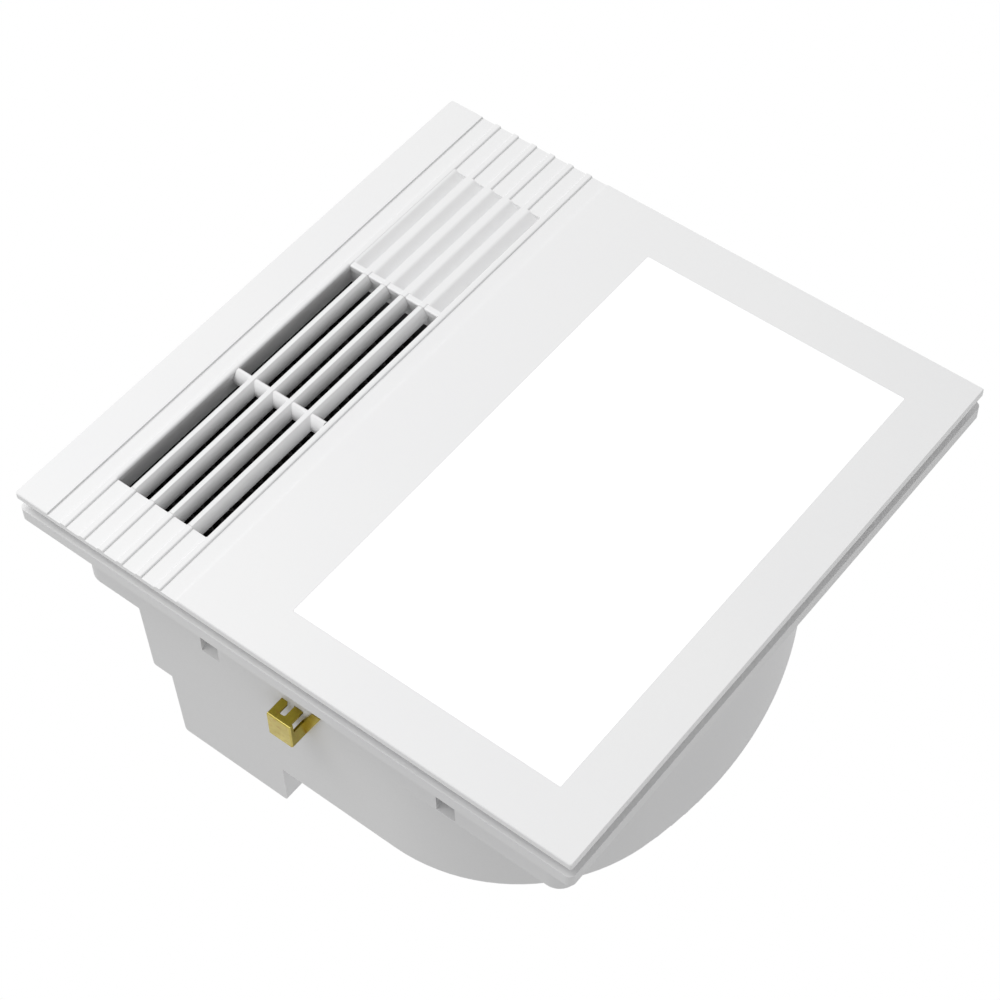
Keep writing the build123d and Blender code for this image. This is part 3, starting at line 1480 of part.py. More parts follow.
def make_leaf(side):
    """One half-round leaf with two of the four knuckles on the common pin."""
    radius = bore - leaf_gap
    x0 = leaf_x - leaf_thickness / 2
    x1 = leaf_x + leaf_thickness / 2
    low = spigot_z - radius - 1
    high = spigot_z + radius + 1
    half = block(x0 - 1, x1 + 1, spigot_y + side * (knuckle_radius + leaf_slot),
                 spigot_y + side * (radius + 1), low, high)
    leaf = rod_x(x0, x1, spigot_y, spigot_z, radius) & half
    span = (radius - knuckle_inset) / 2
    starts = (-2, 0) if side < 0 else (-1, 1)
    for start in starts:
        z0 = spigot_z + start * span + knuckle_gap / 2
        z1 = z0 + span - knuckle_gap
        leaf += rod(leaf_x, spigot_y, knuckle_radius, z0, z1)
        leaf += block(x0, x1, spigot_y + side * leaf_pin_radius,
                      spigot_y + side * (knuckle_radius + 2 * leaf_slot), z0, z1)
    leaf -= rod(leaf_x, spigot_y, leaf_pin_radius + running_gap, low, high)
    return leaf


save("backdraught_leaf_front", make_leaf(-1))
save("backdraught_leaf_back", make_leaf(1))


# Wiring box: drop-in box with cover, board, relays, capacitor, terminals and cable grommet
def board_posts():
    """Posts that carry the control board."""
    return [(box_x + sx * board_post_x, board_y + sy * board_post_y)
            for sx in (-1, 1) for sy in (-1, 1)]


def box_shell():
    half = box_size / 2
    flange_top = casing_height + box_wall
    flange_size = box_size + 2 * box_flange
    shell = slab(box_size, box_size, box_corner, box_bottom, box_top, box_x, box_y)
    shell += slab(flange_size, flange_size, 2 * box_corner, casing_height, flange_top, box_x, box_y)
    shell -= slab(box_size - 2 * box_wall, box_size - 2 * box_wall, box_corner - box_wall,
                  box_bottom + box_wall, box_top + 1, box_x, box_y)
    for x, y in box_corners(half - box_post_inset):
        shell += rod(x, y, box_post_radius, box_bottom + 1, box_top)
        shell -= rod(x, y, pilot_radius, box_top - 3 * box_post_radius, box_top + 1)
    for x, y in box_flange_corners():
        shell -= rod(x, y, screw_radius, casing_height - 1, flange_top + 1)
    shell -= rod_x(box_x + half - box_wall - 1, box_x + half + 1, cable_y, cable_z,
                   cable_hole_radius)
    for x, y in board_posts():
        shell += rod(x, y, board_post_radius, box_bottom + 1, board_z)
    return shell


cable_z = (casing_height + box_wall + box_top) / 2
board_y = box_y - board_shift
board_z = box_bottom + box_wall + board_lift
board_top = board_z + board_thickness
save("wiring_box", box_shell())
save("wiring_box_screws", [screw_down(x, y, casing_height + box_wall, box_wall + wall)
                           for x, y in box_flange_corners()])

cover_top = box_top + cover_thickness
cover = slab(box_size, box_size, box_corner, box_top, cover_top, box_x, box_y)
for x, y in box_corners(box_size / 2 - box_post_inset):
    cover -= rod(x, y, screw_radius, box_top - 1, cover_top + 1)
for index in range(cover_vents):
    x = box_x - cover_vent_shift + index * cover_vent_pitch
    cover -= Pos(x, box_y, box_top - 1) * extrude(
        Rot(0, 0, 90) * SlotOverall(cover_vent_length, cover_vent_width), cover_thickness + 2)
save("wiring_cover", cover)
save("wiring_cover_screws", [screw_down(x, y, cover_top, 2 * screw_bite)
                             for x, y in box_corners(box_size / 2 - box_post_inset)])

wall_x = box_x + box_size / 2
inner_x = wall_x - box_wall
grommet = rod_x(inner_x, wall_x, cable_y, cable_z, cable_hole_radius)
for x0 in (inner_x - grommet_flange, wall_x):
    grommet += rod_x(x0, x0 + grommet_flange, cable_y, cable_z, cable_hole_radius + grommet_rim)
grommet -= rod_x(inner_x - grommet_flange - 1, wall_x + grommet_flange + 1, cable_y, cable_z,
                 cable_bore_radius)
save("cable_grommet", grommet)

board_x0 = box_x - board_length / 2
save("control_board", block(board_x0, board_x0 + board_length, board_y - board_width / 2,
                            board_y + board_width / 2, board_z, board_top))
relays = []
for index in range(relay_count):
    x = board_x0 + relay_inset + index * relay_pitch
    relays.append(block(x, x + relay_length, board_y - relay_width / 2, board_y + relay_width / 2,
                        board_top, board_top + relay_height))
save("relays", relays)
capacitor = block(box_x + capacitor_x - capacitor_length / 2, box_x + capacitor_x + capacitor_length / 2,
                  board_y - capacitor_width / 2, board_y + capacitor_width / 2,
                  board_top, board_top + capacitor_height)
save("fan_capacitor", fillet(capacitor.edges().filter_by(Axis.Z), capacitor_corner))

terminal_z = box_bottom + box_wall
terminal_y = box_y + terminal_shift
block_top = terminal_z + block_height
well_z = block_top - well_depth
wells = [box_x + (index - (terminal_row - 1) / 2) * terminal_row_pitch
         for index in range(terminal_row)]
terminal = block(box_x - block_length / 2, box_x + block_length / 2, terminal_y - block_width / 2,
                 terminal_y + block_width / 2, terminal_z, block_top)
for x in wells:
    for side in (-1, 1):
        terminal -= rod(x, terminal_y + side * well_place, well_radius, well_z, block_top + 1)
    terminal -= rod_y(x, terminal_y - block_width, terminal_y + block_width,
                      terminal_z + wire_hole_height, wire_hole_radius)
save("terminal_block", terminal)
save("terminal_screws", [rod(x, terminal_y + side * well_place, well_radius - clamp_gap, well_z,
                             well_z + clamp_height) for x in wells for side in (-1, 1)])
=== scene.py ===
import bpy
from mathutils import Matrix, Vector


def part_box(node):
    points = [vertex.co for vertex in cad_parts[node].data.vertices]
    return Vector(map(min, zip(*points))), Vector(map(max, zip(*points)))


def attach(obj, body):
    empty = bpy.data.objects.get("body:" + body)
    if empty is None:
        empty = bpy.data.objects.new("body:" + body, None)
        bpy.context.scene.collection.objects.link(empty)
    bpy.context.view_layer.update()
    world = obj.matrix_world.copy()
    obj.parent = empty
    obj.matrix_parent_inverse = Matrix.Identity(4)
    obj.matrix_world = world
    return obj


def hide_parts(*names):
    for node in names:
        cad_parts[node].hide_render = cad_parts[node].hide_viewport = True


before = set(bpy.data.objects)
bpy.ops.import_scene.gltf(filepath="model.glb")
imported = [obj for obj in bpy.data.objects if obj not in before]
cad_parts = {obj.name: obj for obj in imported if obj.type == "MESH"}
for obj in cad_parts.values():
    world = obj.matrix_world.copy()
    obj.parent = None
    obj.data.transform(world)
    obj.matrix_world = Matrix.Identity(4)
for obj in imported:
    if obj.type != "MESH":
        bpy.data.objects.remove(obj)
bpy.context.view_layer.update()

from math import radians

import bmesh
import bpy
from mathutils import Vector

# Camera
# The photograph looks up at the room face from beside the light, a little turned,
# with a long lens.
camera_place = Vector((-0.5501, 0.4512, -0.9081))
camera_turn = (radians(-142.70), radians(-1.116), radians(51.87))
bpy.ops.object.camera_add(location=camera_place, rotation=camera_turn)
camera = bpy.context.object
camera.name = "camera"
camera.data.lens = 94.52
camera.data.sensor_width = 36
camera.data.clip_end = 20
bpy.context.scene.camera = camera


# Studio
# A white room that gives over half of the light, a large soft box below the room face, a
# little towards the clip and the grille, and another one for the top.
bpy.context.scene.view_settings.view_transform = "Standard"
world = bpy.data.worlds.new("studio")
bpy.context.scene.world = world
world.use_nodes = True
sky = world.node_tree
sky.nodes.clear()
rays = sky.nodes.new("ShaderNodeLightPath")
seen_or_mirrored = sky.nodes.new("ShaderNodeMath")
seen_or_mirrored.operation = "MAXIMUM"
sky.links.new(rays.outputs["Is Camera Ray"], seen_or_mirrored.inputs[0])
sky.links.new(rays.outputs["Is Glossy Ray"], seen_or_mirrored.inputs[1])
seen = sky.nodes.new("ShaderNodeMath")
seen.operation = "MAXIMUM"
sky.links.new(seen_or_mirrored.outputs[0], seen.inputs[0])
sky.links.new(rays.outputs["Is Transmission Ray"], seen.inputs[1])
room_light = sky.nodes.new("ShaderNodeBackground")
room_light.inputs["Color"].default_value = (1.0, 1.0, 1.0, 1)
room_light.inputs["Strength"].default_value = 0.56
white_back = sky.nodes.new("ShaderNodeBackground")
white_back.inputs["Color"].default_value = (1, 1, 1, 1)
white_back.inputs["Strength"].default_value = 1.0
either = sky.nodes.new("ShaderNodeMixShader")
sky.links.new(seen.outputs[0], either.inputs["Fac"])
sky.links.new(room_light.outputs[0], either.inputs[1])
sky.links.new(white_back.outputs[0], either.inputs[2])
world_out = sky.nodes.new("ShaderNodeOutputWorld")
sky.links.new(either.outputs[0], world_out.inputs["Surface"])


def soft_box(name, place, size, power):
    """A square area lamp at a place, turned to the object."""
    bpy.ops.object.light_add(type="AREA", location=place)
    lamp = bpy.context.object
    lamp.name = name
    lamp.data.shape = "SQUARE"
    lamp.data.size = size
    lamp.data.energy = power
    lamp.rotation_euler = Vector(place).to_track_quat("Z", "Y").to_euler()


soft_box("lamp_room_face", (-0.35, -0.82, -1.5), 1.2, 18.4)
soft_box("lamp_top", (0.9, -0.9, 1.8), 1.2, 18.0)

# Floor
# A plain pale floor far below the heater, which hangs from a ceiling.
bpy.ops.mesh.primitive_plane_add(size=16, location=(0, 0, -2.2))
floor = bpy.context.object
floor.name = "floor"
floor_paint = bpy.data.materials.new("floor_paint")
floor_paint.use_nodes = True
floor_shader = floor_paint.node_tree.nodes["Principled BSDF"]
floor_shader.inputs["Base Color"].default_value = (0.86, 0.86, 0.86, 1)
floor_shader.inputs["Roughness"].default_value = 0.9
floor.data.materials.append(floor_paint)


# Housing
# One white moulding with a fine matt texture: ceiling flange, skirt, hood, cross duct
# and fan casing.
class Tone:
    """The output of a shader node; formulas on tones add Math nodes."""

    def __init__(self, tree, socket):
        self.tree = tree
        self.socket = socket

    def node(self, kind, settings, sockets, output=0):
        """Adds a node, sets it up, joins or fills its sockets and gives one output."""
        made = self.tree.nodes.new(kind)
        for name, value in settings.items():
            setattr(made, name, value)
        for name, value in sockets.items():
            if isinstance(value, Tone):
                self.tree.links.new(value.socket, made.inputs[name])
            else:
                made.inputs[name].default_value = value
        return Tone(self.tree, made.outputs[output])

    def maths(self, operation, first, second):
        return self.node("ShaderNodeMath", {"operation": operation}, {0: first, 1: second})

    def __add__(self, other):
        return self.maths("ADD", self, other)

    def __radd__(self, other):
        return self.maths("ADD", other, self)

    def __rsub__(self, other):
        return self.maths("SUBTRACT", other, self)

    def __mul__(self, other):
        return self.maths("MULTIPLY", self, other)

    def __rmul__(self, other):
        return self.maths("MULTIPLY", other, self)


def new_finish(name, roughness, metallic=0.0):
    """A new material: its name, its Principled shader and its object coordinates."""
    finish = bpy.data.materials.new(name)
    finish.use_nodes = True
    tree = finish.node_tree
    shader = tree.nodes["Principled BSDF"]
    shader.inputs["Roughness"].default_value = roughness
    shader.inputs["Metallic"].default_value = metallic
    place = Tone(tree, tree.nodes.new("ShaderNodeTexCoord").outputs["Object"])
    return finish, shader, place


def noise(place, scale, detail=2.0):
    """Cloudy noise between 0 and 1, scale features to the metre."""
    return place.node("ShaderNodeTexNoise", {}, {"Vector": place, "Scale": scale, "Detail": detail})


def fade(tone, low, high):
    """0 below low and 1 above high, with a ramp between."""
    return tone.node("ShaderNodeMapRange", {}, {"Value": tone, "From Min": low, "From Max": high})


def join(tone, shader, socket):
    """Joins a tone to a socket of the shader."""
    tone.tree.links.new(tone.socket, shader.inputs[socket])


def relief(height, distance):
    """Surface relief from a height between 0 and 1, distance metres high."""
    return height.node("ShaderNodeBump", {}, {"Height": height, "Distance": distance})


def between(mask, first, second):
    """A colour between two, by a mask from 0 to 1."""
    ends = [(*end, 1) if isinstance(end, tuple) else end for end in (first, second)]
    return mask.node("ShaderNodeMix", {"data_type": "RGBA"}, {0: mask, 6: ends[0], 7: ends[1]}, 2)


def moulded(name, colour, shade, roughness, grain, grain_height, flow=6.0):
    """Moulded plastic: flow clouds in its colour and a fine grain in its surface."""
    finish, shader, place = new_finish(name, roughness)
    cloud = noise(place, flow)
    fine = noise(place, grain, 4.0)
    join(between(fade(cloud + 0.2 * fine, 0.45, 0.75), colour, shade), shader, "Base Color")
    join(roughness - 0.06 + 0.12 * fine, shader, "Roughness")
    join(relief(fine, grain_height), shader, "Normal")
    return finish


def dress(finish, *nodes):
    """Gives CAD nodes a finish."""
    for node in nodes:
        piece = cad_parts[node]
        piece.data.materials.clear()
        piece.data.materials.append(finish)


housing_white = moulded("housing_white", (0.80, 0.80, 0.80), (0.77, 0.77, 0.775), 0.52, 900.0,
                        0.00004)
dress(housing_white, "main_housing")


# Mounting clips
# Bent and slotted spring steel with a yellow chromate coat: olive on the slotted leaf, with a
# paler gold painted on the outer face as a painted reflection, a painted highlight along the
# fold, and spots of a warm tint.
def stretched(place, x, y, z):
    """Coordinates drawn out: a small factor makes long streaks along that axis."""
    return place.node("ShaderNodeMapping", {}, {"Vector": place, "Scale": (x, y, z)})


zinc_yellow, zinc_shader, zinc_place = new_finish("zinc_yellow", 0.36, 1.0)
clip_low, clip_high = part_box("mounting_clips")
clip_side = zinc_place.node("ShaderNodeSeparateXYZ", {}, {0: zinc_place})
clip_height = zinc_place.node("ShaderNodeSeparateXYZ", {}, {0: zinc_place}, 2)
clip_reach = clip_side.maths("ABSOLUTE", clip_side, 0.0)
face_depth = 0.0009
face_blur = 0.0002
outer_line = clip_high[0] - face_depth
outer_face = fade(clip_reach, outer_line - face_blur, outer_line + face_blur)
fold_height = 0.001
fold_blur = 0.0003
fold_line = clip_low[2] + fold_height
# Painted highlight: a bright pale-gold line where the outer face turns into the fold.
painted_fold_highlight = outer_face * fade(clip_height, fold_line + fold_blur, fold_line - fold_blur)
coat_cloud = fade(noise(zinc_place, 130.0, 3.0), 0.35, 0.65)
coat_spots = fade(noise(zinc_place, 420.0, 1.0), 0.55, 0.75)
rolled = noise(stretched(zinc_place, 1.0, 0.04, 1.0), 1800.0)
olive = between(coat_cloud, (0.43, 0.35, 0.045), (0.33, 0.26, 0.035))
# Painted reflection: the outer face is painted a paler gold than the olive slotted leaf.
painted_reflection_gold = between(coat_cloud, (0.53, 0.45, 0.13), (0.44, 0.36, 0.095))
coat_and_painted_sheen = between(painted_fold_highlight, between(outer_face, olive, painted_reflection_gold), (0.95, 0.86, 0.34))
join(between(0.5 * coat_spots, coat_and_painted_sheen, (0.36, 0.20, 0.045)), zinc_shader, "Base Color")
join(0.26 + 0.20 * rolled, zinc_shader, "Roughness")
join(relief(rolled, 0.00001), zinc_shader, "Normal")
dress(zinc_yellow, "mounting_clips")

# Face panel
# A smooth satin moulding that clips under the flange, with the ribbed band sunk in it.
panel_white = moulded("panel_white", (0.86, 0.86, 0.86), (0.845, 0.845, 0.85), 0.38, 1400.0,
                      0.00001)
dress(panel_white, "face_panel")

# Outlet grille
# A separate moulding screwed behind the panel, its blades carry on the panel's ribs.
grille_white = moulded("grille_white", (0.86, 0.86, 0.86), (0.84, 0.84, 0.845), 0.38, 1400.0,
                       0.00001, 14.0)
dress(grille_white, "outlet_grille")

# Light window
# An opal acrylic sheet, even and bright, with hardly any gloss.
opal, opal_shader, opal_place = new_finish("opal", 0.45)
opal_shader.inputs["Emission Strength"].default_value = 0.15
milk = noise(opal_place, 3.0)
join(between(milk, (0.95, 0.95, 0.95), (0.93, 0.93, 0.94)), opal_shader, "Base Color")
join(between(milk, (1.0, 1.0, 1.0), (0.97, 0.97, 0.98)), opal_shader, "Emission Color")
dress(opal, "light_diffuser")

# Light guide
# Clear acrylic with rows of printed dots on its back, which turn the light down.
guide_acrylic, guide_shader, guide_place = new_finish("guide_acrylic", 0.12)
guide_shader.inputs["IOR"].default_value = 1.49
dot_cell = guide_place.node("ShaderNodeTexVoronoi", {}, {"Vector": guide_place, "Scale": 400.0,
                                                         "Randomness": 0.0})
dot = fade(dot_cell, 0.34, 0.26)
join(between(dot, (0.82, 0.86, 0.86), (0.95, 0.95, 0.95)), guide_shader, "Base Color")
join(0.12 + 0.5 * dot, guide_shader, "Roughness")
dress(guide_acrylic, "light_guide")

# Reflector
# White micro-foamed film behind the light guide.
reflector_film = moulded("reflector_film", (0.93, 0.93, 0.93), (0.91, 0.91, 0.90), 0.75, 2600.0,
                         0.00002)
dress(reflector_film, "light_reflector")


# LED strips and chips
# Boards with white solder mask and fine copper tracks, and chips with a yellow phosphor
# window in a white case.
def solder_mask(name, mask_colour, track_colour, pitch):
    """A printed board: tracks under the mask at a pitch, with round solder pads."""
    finish, shader, place = new_finish(name, 0.35)
    parts = place.node("ShaderNodeTexBrick", {"offset": 0.37, "squash": 1.6},
                       {"Vector": place, "Scale": 1.0 / pitch, "Mortar Size": 0.06,
                        "Color1": (0, 0, 0, 1), "Color2": (0.25, 0.25, 0.25, 1),
                        "Mortar": (1, 1, 1, 1)})
    pads = fade(place.node("ShaderNodeTexVoronoi", {}, {"Vector": place, "Scale": 0.6 / pitch,
                                                        "Randomness": 0.6}), 0.17, 0.13)
    track = between(parts, mask_colour, track_colour)
    join(between(pads, track, (0.62, 0.63, 0.64)), shader, "Base Color")
    join(0.85 * pads, shader, "Metallic")
    join(relief(parts.maths("MAXIMUM", parts, pads), 0.00004), shader, "Normal")
    join(0.42 - 0.12 * pads, shader, "Roughness")
    return finish


strip_board = solder_mask("strip_board", (0.88, 0.88, 0.86), (0.80, 0.79, 0.74), 0.004)
dress(strip_board, "led_strips")

chip_length = 0.0036
chips_in_row = 30
chips_low, chips_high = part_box("led_chips")
chip_pitch = (chips_high[0] - chips_low[0] - chip_length) / (chips_in_row - 1)
chip_case, chip_shader, chip_place = new_finish("chip_case", 0.4)
chip_shader.inputs["Emission Strength"].default_value = 0.3
chip_axes = chip_place.node("ShaderNodeSeparateXYZ", {}, {0: chip_place})
shifted = chip_axes + 10.0 * chip_pitch + 0.5 * chip_pitch
chip_off = chip_axes.maths("PINGPONG", shifted, chip_pitch / 2)
phosphor_edge = 0.003
phosphor_blur = 0.0001
phosphor = fade(chip_off, phosphor_edge - phosphor_blur, phosphor_edge + phosphor_blur)
join(between(phosphor, (0.88, 0.88, 0.86), (0.90, 0.72, 0.12)), chip_shader, "Base Color")
join(between(phosphor, (0.05, 0.05, 0.05), (0.9, 0.85, 0.6)), chip_shader, "Emission Color")
dress(chip_case, "led_chips")


# Light tray
# Pressed galvanised sheet with a fine spangle, screwed to the back of the panel.
def galvanised(name, light, dark, roughness, spangle):
    """Galvanised sheet: crystals of different tones, each with its own gloss."""
    finish, shader, place = new_finish(name, roughness, 1.0)
    crystal = place.node("ShaderNodeTexVoronoi", {}, {"Vector": place, "Scale": spangle}, "Color")
    tone = crystal.node("ShaderNodeSeparateColor", {}, {0: crystal})
    dust = noise(place, 900.0, 4.0)
    join(between(0.7 * tone + 0.3 * dust, light, dark), shader, "Base Color")
    join(roughness - 0.08 + 0.12 * tone + 0.08 * dust, shader, "Roughness")
    join(relief(dust, 0.00001), shader, "Normal")
    return finish


tray_zinc = galvanised("tray_zinc", (0.60, 0.61, 0.62), (0.46, 0.47, 0.48), 0.42, 220.0)
dress(tray_zinc, "light_tray")

# LED driver
# A small closed supply in a white moulded case, fixed by two ears.
driver_case = moulded("driver_case", (0.80, 0.79, 0.76), (0.76, 0.75, 0.72), 0.5, 1100.0,
                      0.00003, 20.0)
dress(driver_case, "led_driver")


# Panel hooks
# Rolled strips of blued spring steel, bent to a nose that snaps into the housing.
def drawn(name, light, dark, roughness, x, y, z):
    """Drawn or rolled metal with fine lines along the axis whose factor is small."""
    finish, shader, place = new_finish(name, roughness, 1.0)
    lines = noise(stretched(place, x, y, z), 2200.0, 3.0)
    stain = fade(noise(place, 45.0), 0.4, 0.7)
    join(between(0.6 * lines + 0.4 * stain, light, dark), shader, "Base Color")
    join(roughness - 0.08 + 0.16 * lines, shader, "Roughness")
    join(relief(lines, 0.000008), shader, "Normal")
    return finish


hook_steel = drawn("hook_steel", (0.42, 0.44, 0.47), (0.30, 0.32, 0.36), 0.35, 1.0, 1.0, 0.03)
dress(hook_steel, "panel_hooks")

# Scroll floor and liner
# Pale grey mouldings: the floor carries the inlet ring, the liner curls round the wheel.
scroll_grey = moulded("scroll_grey", (0.66, 0.66, 0.66), (0.61, 0.61, 0.62), 0.48, 1000.0,
                      0.00003, 11.0)
dress(scroll_grey, "scroll_floor", "scroll_liner")

# Fan wheel
# Black glass-filled moulding, a little streaky where the melt ran out to the blades.
wheel_black, wheel_shader, wheel_place = new_finish("wheel_black", 0.5)
streaks = noise(stretched(wheel_place, 1.0, 1.0, 0.12), 700.0, 4.0)
wheel_tone = between(fade(streaks, 0.5, 0.75), (0.018, 0.018, 0.02), (0.06, 0.06, 0.062))
join(wheel_tone, wheel_shader, "Base Color")
join(0.38 + 0.25 * streaks, wheel_shader, "Roughness")
join(relief(streaks, 0.00003), wheel_shader, "Normal")
dress(wheel_black, "impeller")

# Hub nut
# A turned and plated steel nut under the hub of the wheel.
nut_steel = drawn("nut_steel", (0.66, 0.67, 0.68), (0.50, 0.51, 0.53), 0.30, 1.0, 1.0, 0.02)
dress(nut_steel, "impeller_nut")

# Motor shells and bracket
# Deep-drawn galvanised sheet: two cups whose flanges close on the bracket ring.
shell_zinc = galvanised("shell_zinc", (0.62, 0.63, 0.64), (0.48, 0.49, 0.51), 0.34, 160.0)
dress(shell_zinc, "motor_lower_shell", "motor_upper_shell", "motor_bracket")

# Rubber grommets
# Matt grey rubber with a bloom of chalk, under the motor and round the supply cable.
soft_rubber, rubber_shader, rubber_place = new_finish("soft_rubber", 0.8)
bloom = noise(rubber_place, 260.0, 5.0)
rubber_tone = between(fade(bloom, 0.5, 0.75), (0.045, 0.045, 0.048), (0.12, 0.12, 0.12))
join(rubber_tone, rubber_shader, "Base Color")
join(0.68 + 0.25 * bloom, rubber_shader, "Roughness")
join(relief(bloom, 0.00005), rubber_shader, "Normal")
dress(soft_rubber, "motor_grommets", "cable_grommet")


# Stator and rotor
# Stacks of varnished half-millimetre laminations; their cut edges show as fine lines.
def laminated(name, light, dark, sheet):
    """A stack of sheets along Z, each with a thin dark gap, varnished unevenly."""
    finish, shader, place = new_finish(name, 0.45, 0.9)
    height = place.node("ShaderNodeSeparateXYZ", {}, {0: place}, 2)
    gap = fade(height.maths("PINGPONG", height, sheet / 2), sheet * 0.12, sheet * 0.02)
    varnish = noise(place, 180.0, 3.0)
    plain = between(varnish, light, dark)
    join(between(gap, plain, (0.015, 0.014, 0.014)), shader, "Base Color")
    join(0.35 + 0.3 * varnish, shader, "Roughness")
    join(relief(1.0 - gap, 0.00006), shader, "Normal")
    return finish


stator_core = laminated("stator_core", (0.26, 0.25, 0.25), (0.16, 0.15, 0.15), 0.0005)
dress(stator_core, "motor_stator", "motor_rotor")

# Windings
# Enamelled copper in two wound rings, one above and one below the stator.
enamel_copper, copper_shader, copper_place = new_finish("enamel_copper", 0.25, 1.0)
burnt = fade(noise(copper_place, 90.0, 3.0), 0.4, 0.7)
join(between(burnt, (0.72, 0.30, 0.12), (0.45, 0.16, 0.06)), copper_shader, "Base Color")
join(0.22 + 0.15 * burnt, copper_shader, "Roughness")
copper_shader.inputs["Coat Roughness"].default_value = 0.1
copper_shader.inputs["Coat Weight"].default_value = 0.6
wire_radius = 0.0008
wire_slack = 0.0004
coil_low, coil_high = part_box("motor_windings")
coil_middle = (Vector(coil_low) + Vector(coil_high)) / 2
coil_outer = (coil_high[0] - coil_low[0]) / 2
coil_rows = 5
bpy.ops.object.select_all(action="DESELECT")
turns = []
for row in range(coil_rows):
    for layer in (0, 1):
        for level in (coil_low[2] + wire_radius + 2 * layer * wire_radius,
                      coil_high[2] - wire_radius - 2 * layer * wire_radius):
            reach = coil_outer - wire_radius - (2 * row + 0.6 * layer) * wire_radius
            bpy.ops.mesh.primitive_torus_add(
                location=(coil_middle.x, coil_middle.y, level), major_radius=reach,
                minor_radius=wire_radius, major_segments=72, minor_segments=8)
            turns.append(bpy.context.object)
for turn in turns:
    turn.select_set(True)
bpy.ops.object.join()
windings = bpy.context.object
windings.name = "motor_windings_wound"
bpy.ops.object.transform_apply(location=True, rotation=True, scale=True)
slack = bpy.data.textures.new("winding_slack", "CLOUDS")
slack.noise_scale = 0.006
ripple = windings.modifiers.new("ripple", "DISPLACE")
ripple.texture = slack
ripple.texture_coords = "GLOBAL"
ripple.strength = wire_slack
bpy.ops.object.modifier_apply(modifier="ripple")
bpy.ops.object.shade_smooth()
windings.data.materials.append(enamel_copper)
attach(windings, "housing")
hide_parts("motor_windings")

# Shafts and leaf pin
# Ground steel, bright and nearly smooth.
ground_steel = drawn("ground_steel", (0.60, 0.61, 0.62), (0.48, 0.49, 0.50), 0.22, 1.0, 1.0, 0.3)
dress(ground_steel, "motor_shaft", "leaf_pin", "flap_shaft")

# Motor bushes
# Sintered bronze, porous and dark with oil.
sintered, sintered_shader, sintered_place = new_finish("sintered_bronze", 0.45, 1.0)
pores = fade(noise(sintered_place, 3200.0, 2.0), 0.58, 0.66)
join(between(pores, (0.55, 0.36, 0.16), (0.10, 0.07, 0.04)), sintered_shader, "Base Color")
join(relief(1.0 - pores, 0.00002), sintered_shader, "Normal")
join(0.40 + 0.3 * pores, sintered_shader, "Roughness")
dress(sintered, "motor_bushes")

# Air guide
# A pale grey moulded tray that leads the air from the flap to the heater.
guide_grey = moulded("guide_grey", (0.60, 0.60, 0.59), (0.55, 0.55, 0.55), 0.5, 950.0, 0.00003, 9.0)
dress(guide_grey, "air_guide")

# Heater frame
# Heat-proof dark grey moulding with a coarse matt skin, round the heating bars.
heater_grey = moulded("heater_grey", (0.045, 0.045, 0.048), (0.03, 0.03, 0.032), 0.6, 1200.0,
                      0.00004, 40.0)
dress(heater_grey, "heater_frame")

# Heating bars and fins
# Ceramic heating stones in flat tubes with folded fins between them, both painted near black:
# painted shade for the dark inside seen through the grille.
fin_painted_shade, fin_shader, fin_place = new_finish("fin_painted_shade", 0.5, 0.3)
# Painted shade: near-black tones, mottled at random between two dark greys.
shade_mottle = noise(fin_place, 350.0, 4.0)
fin_shade_tone = between(fade(shade_mottle, 0.4, 0.7), (0.012, 0.012, 0.013), (0.045, 0.043, 0.042))
join(fin_shade_tone, fin_shader, "Base Color")
join(0.45 + 0.25 * shade_mottle, fin_shader, "Roughness")
join(relief(shade_mottle, 0.00002), fin_shader, "Normal")
dress(fin_painted_shade, "heater_fins", "heating_bars")

# Brass terminals
# Stamped tabs and clamp screws, a little tarnished.
stamped_brass = drawn("stamped_brass", (0.74, 0.56, 0.24), (0.52, 0.36, 0.13), 0.33, 0.05, 1.0, 1.0)
dress(stamped_brass, "heater_terminals", "terminal_screws")

# Thermal cut-out
# Black phenolic body, glossy where it left the mould.
phenolic = moulded("phenolic", (0.018, 0.017, 0.017), (0.035, 0.032, 0.03), 0.3, 700.0,
                   0.00002, 90.0)
dress(phenolic, "thermal_cutout")

# Changeover flap, leaves and exhaust spigot
# White mouldings of the same plastic as the housing, but smoother.
flap_white = moulded("flap_white", (0.78, 0.78, 0.78), (0.75, 0.75, 0.755), 0.42, 1300.0,
                     0.00002, 16.0)
dress(flap_white, "changeover_flap", "backdraught_leaf_front", "backdraught_leaf_back",
      "exhaust_spigot")

# Seal and gasket
# Closed-cell black foam, its cut pores open at the surface.
black_foam, foam_shader, foam_place = new_finish("black_foam", 0.9)
foam_cells = foam_place.node("ShaderNodeTexVoronoi", {}, {"Vector": foam_place, "Scale": 1400.0})
cell = fade(foam_cells, 0.15, 0.55)
join(between(cell, (0.008, 0.008, 0.009), (0.045, 0.045, 0.047)), foam_shader, "Base Color")
join(relief(cell, 0.00025), foam_shader, "Normal")
join(0.96 - 0.12 * cell, foam_shader, "Roughness")
dress(black_foam, "flap_seal", "exhaust_gasket")

# Wiring box and cover
# Flame-proof white mouldings dropped into the casing, with a vented cover.
box_white = moulded("box_white", (0.78, 0.78, 0.77), (0.745, 0.745, 0.74), 0.46, 1000.0,
                    0.00003, 13.0)
dress(box_white, "wiring_box", "wiring_cover")

# Control board
# Green solder mask over copper tracks, with tinned pads.
board_green = solder_mask("board_green", (0.012, 0.12, 0.045), (0.03, 0.22, 0.09), 0.006)
dress(board_green, "control_board")


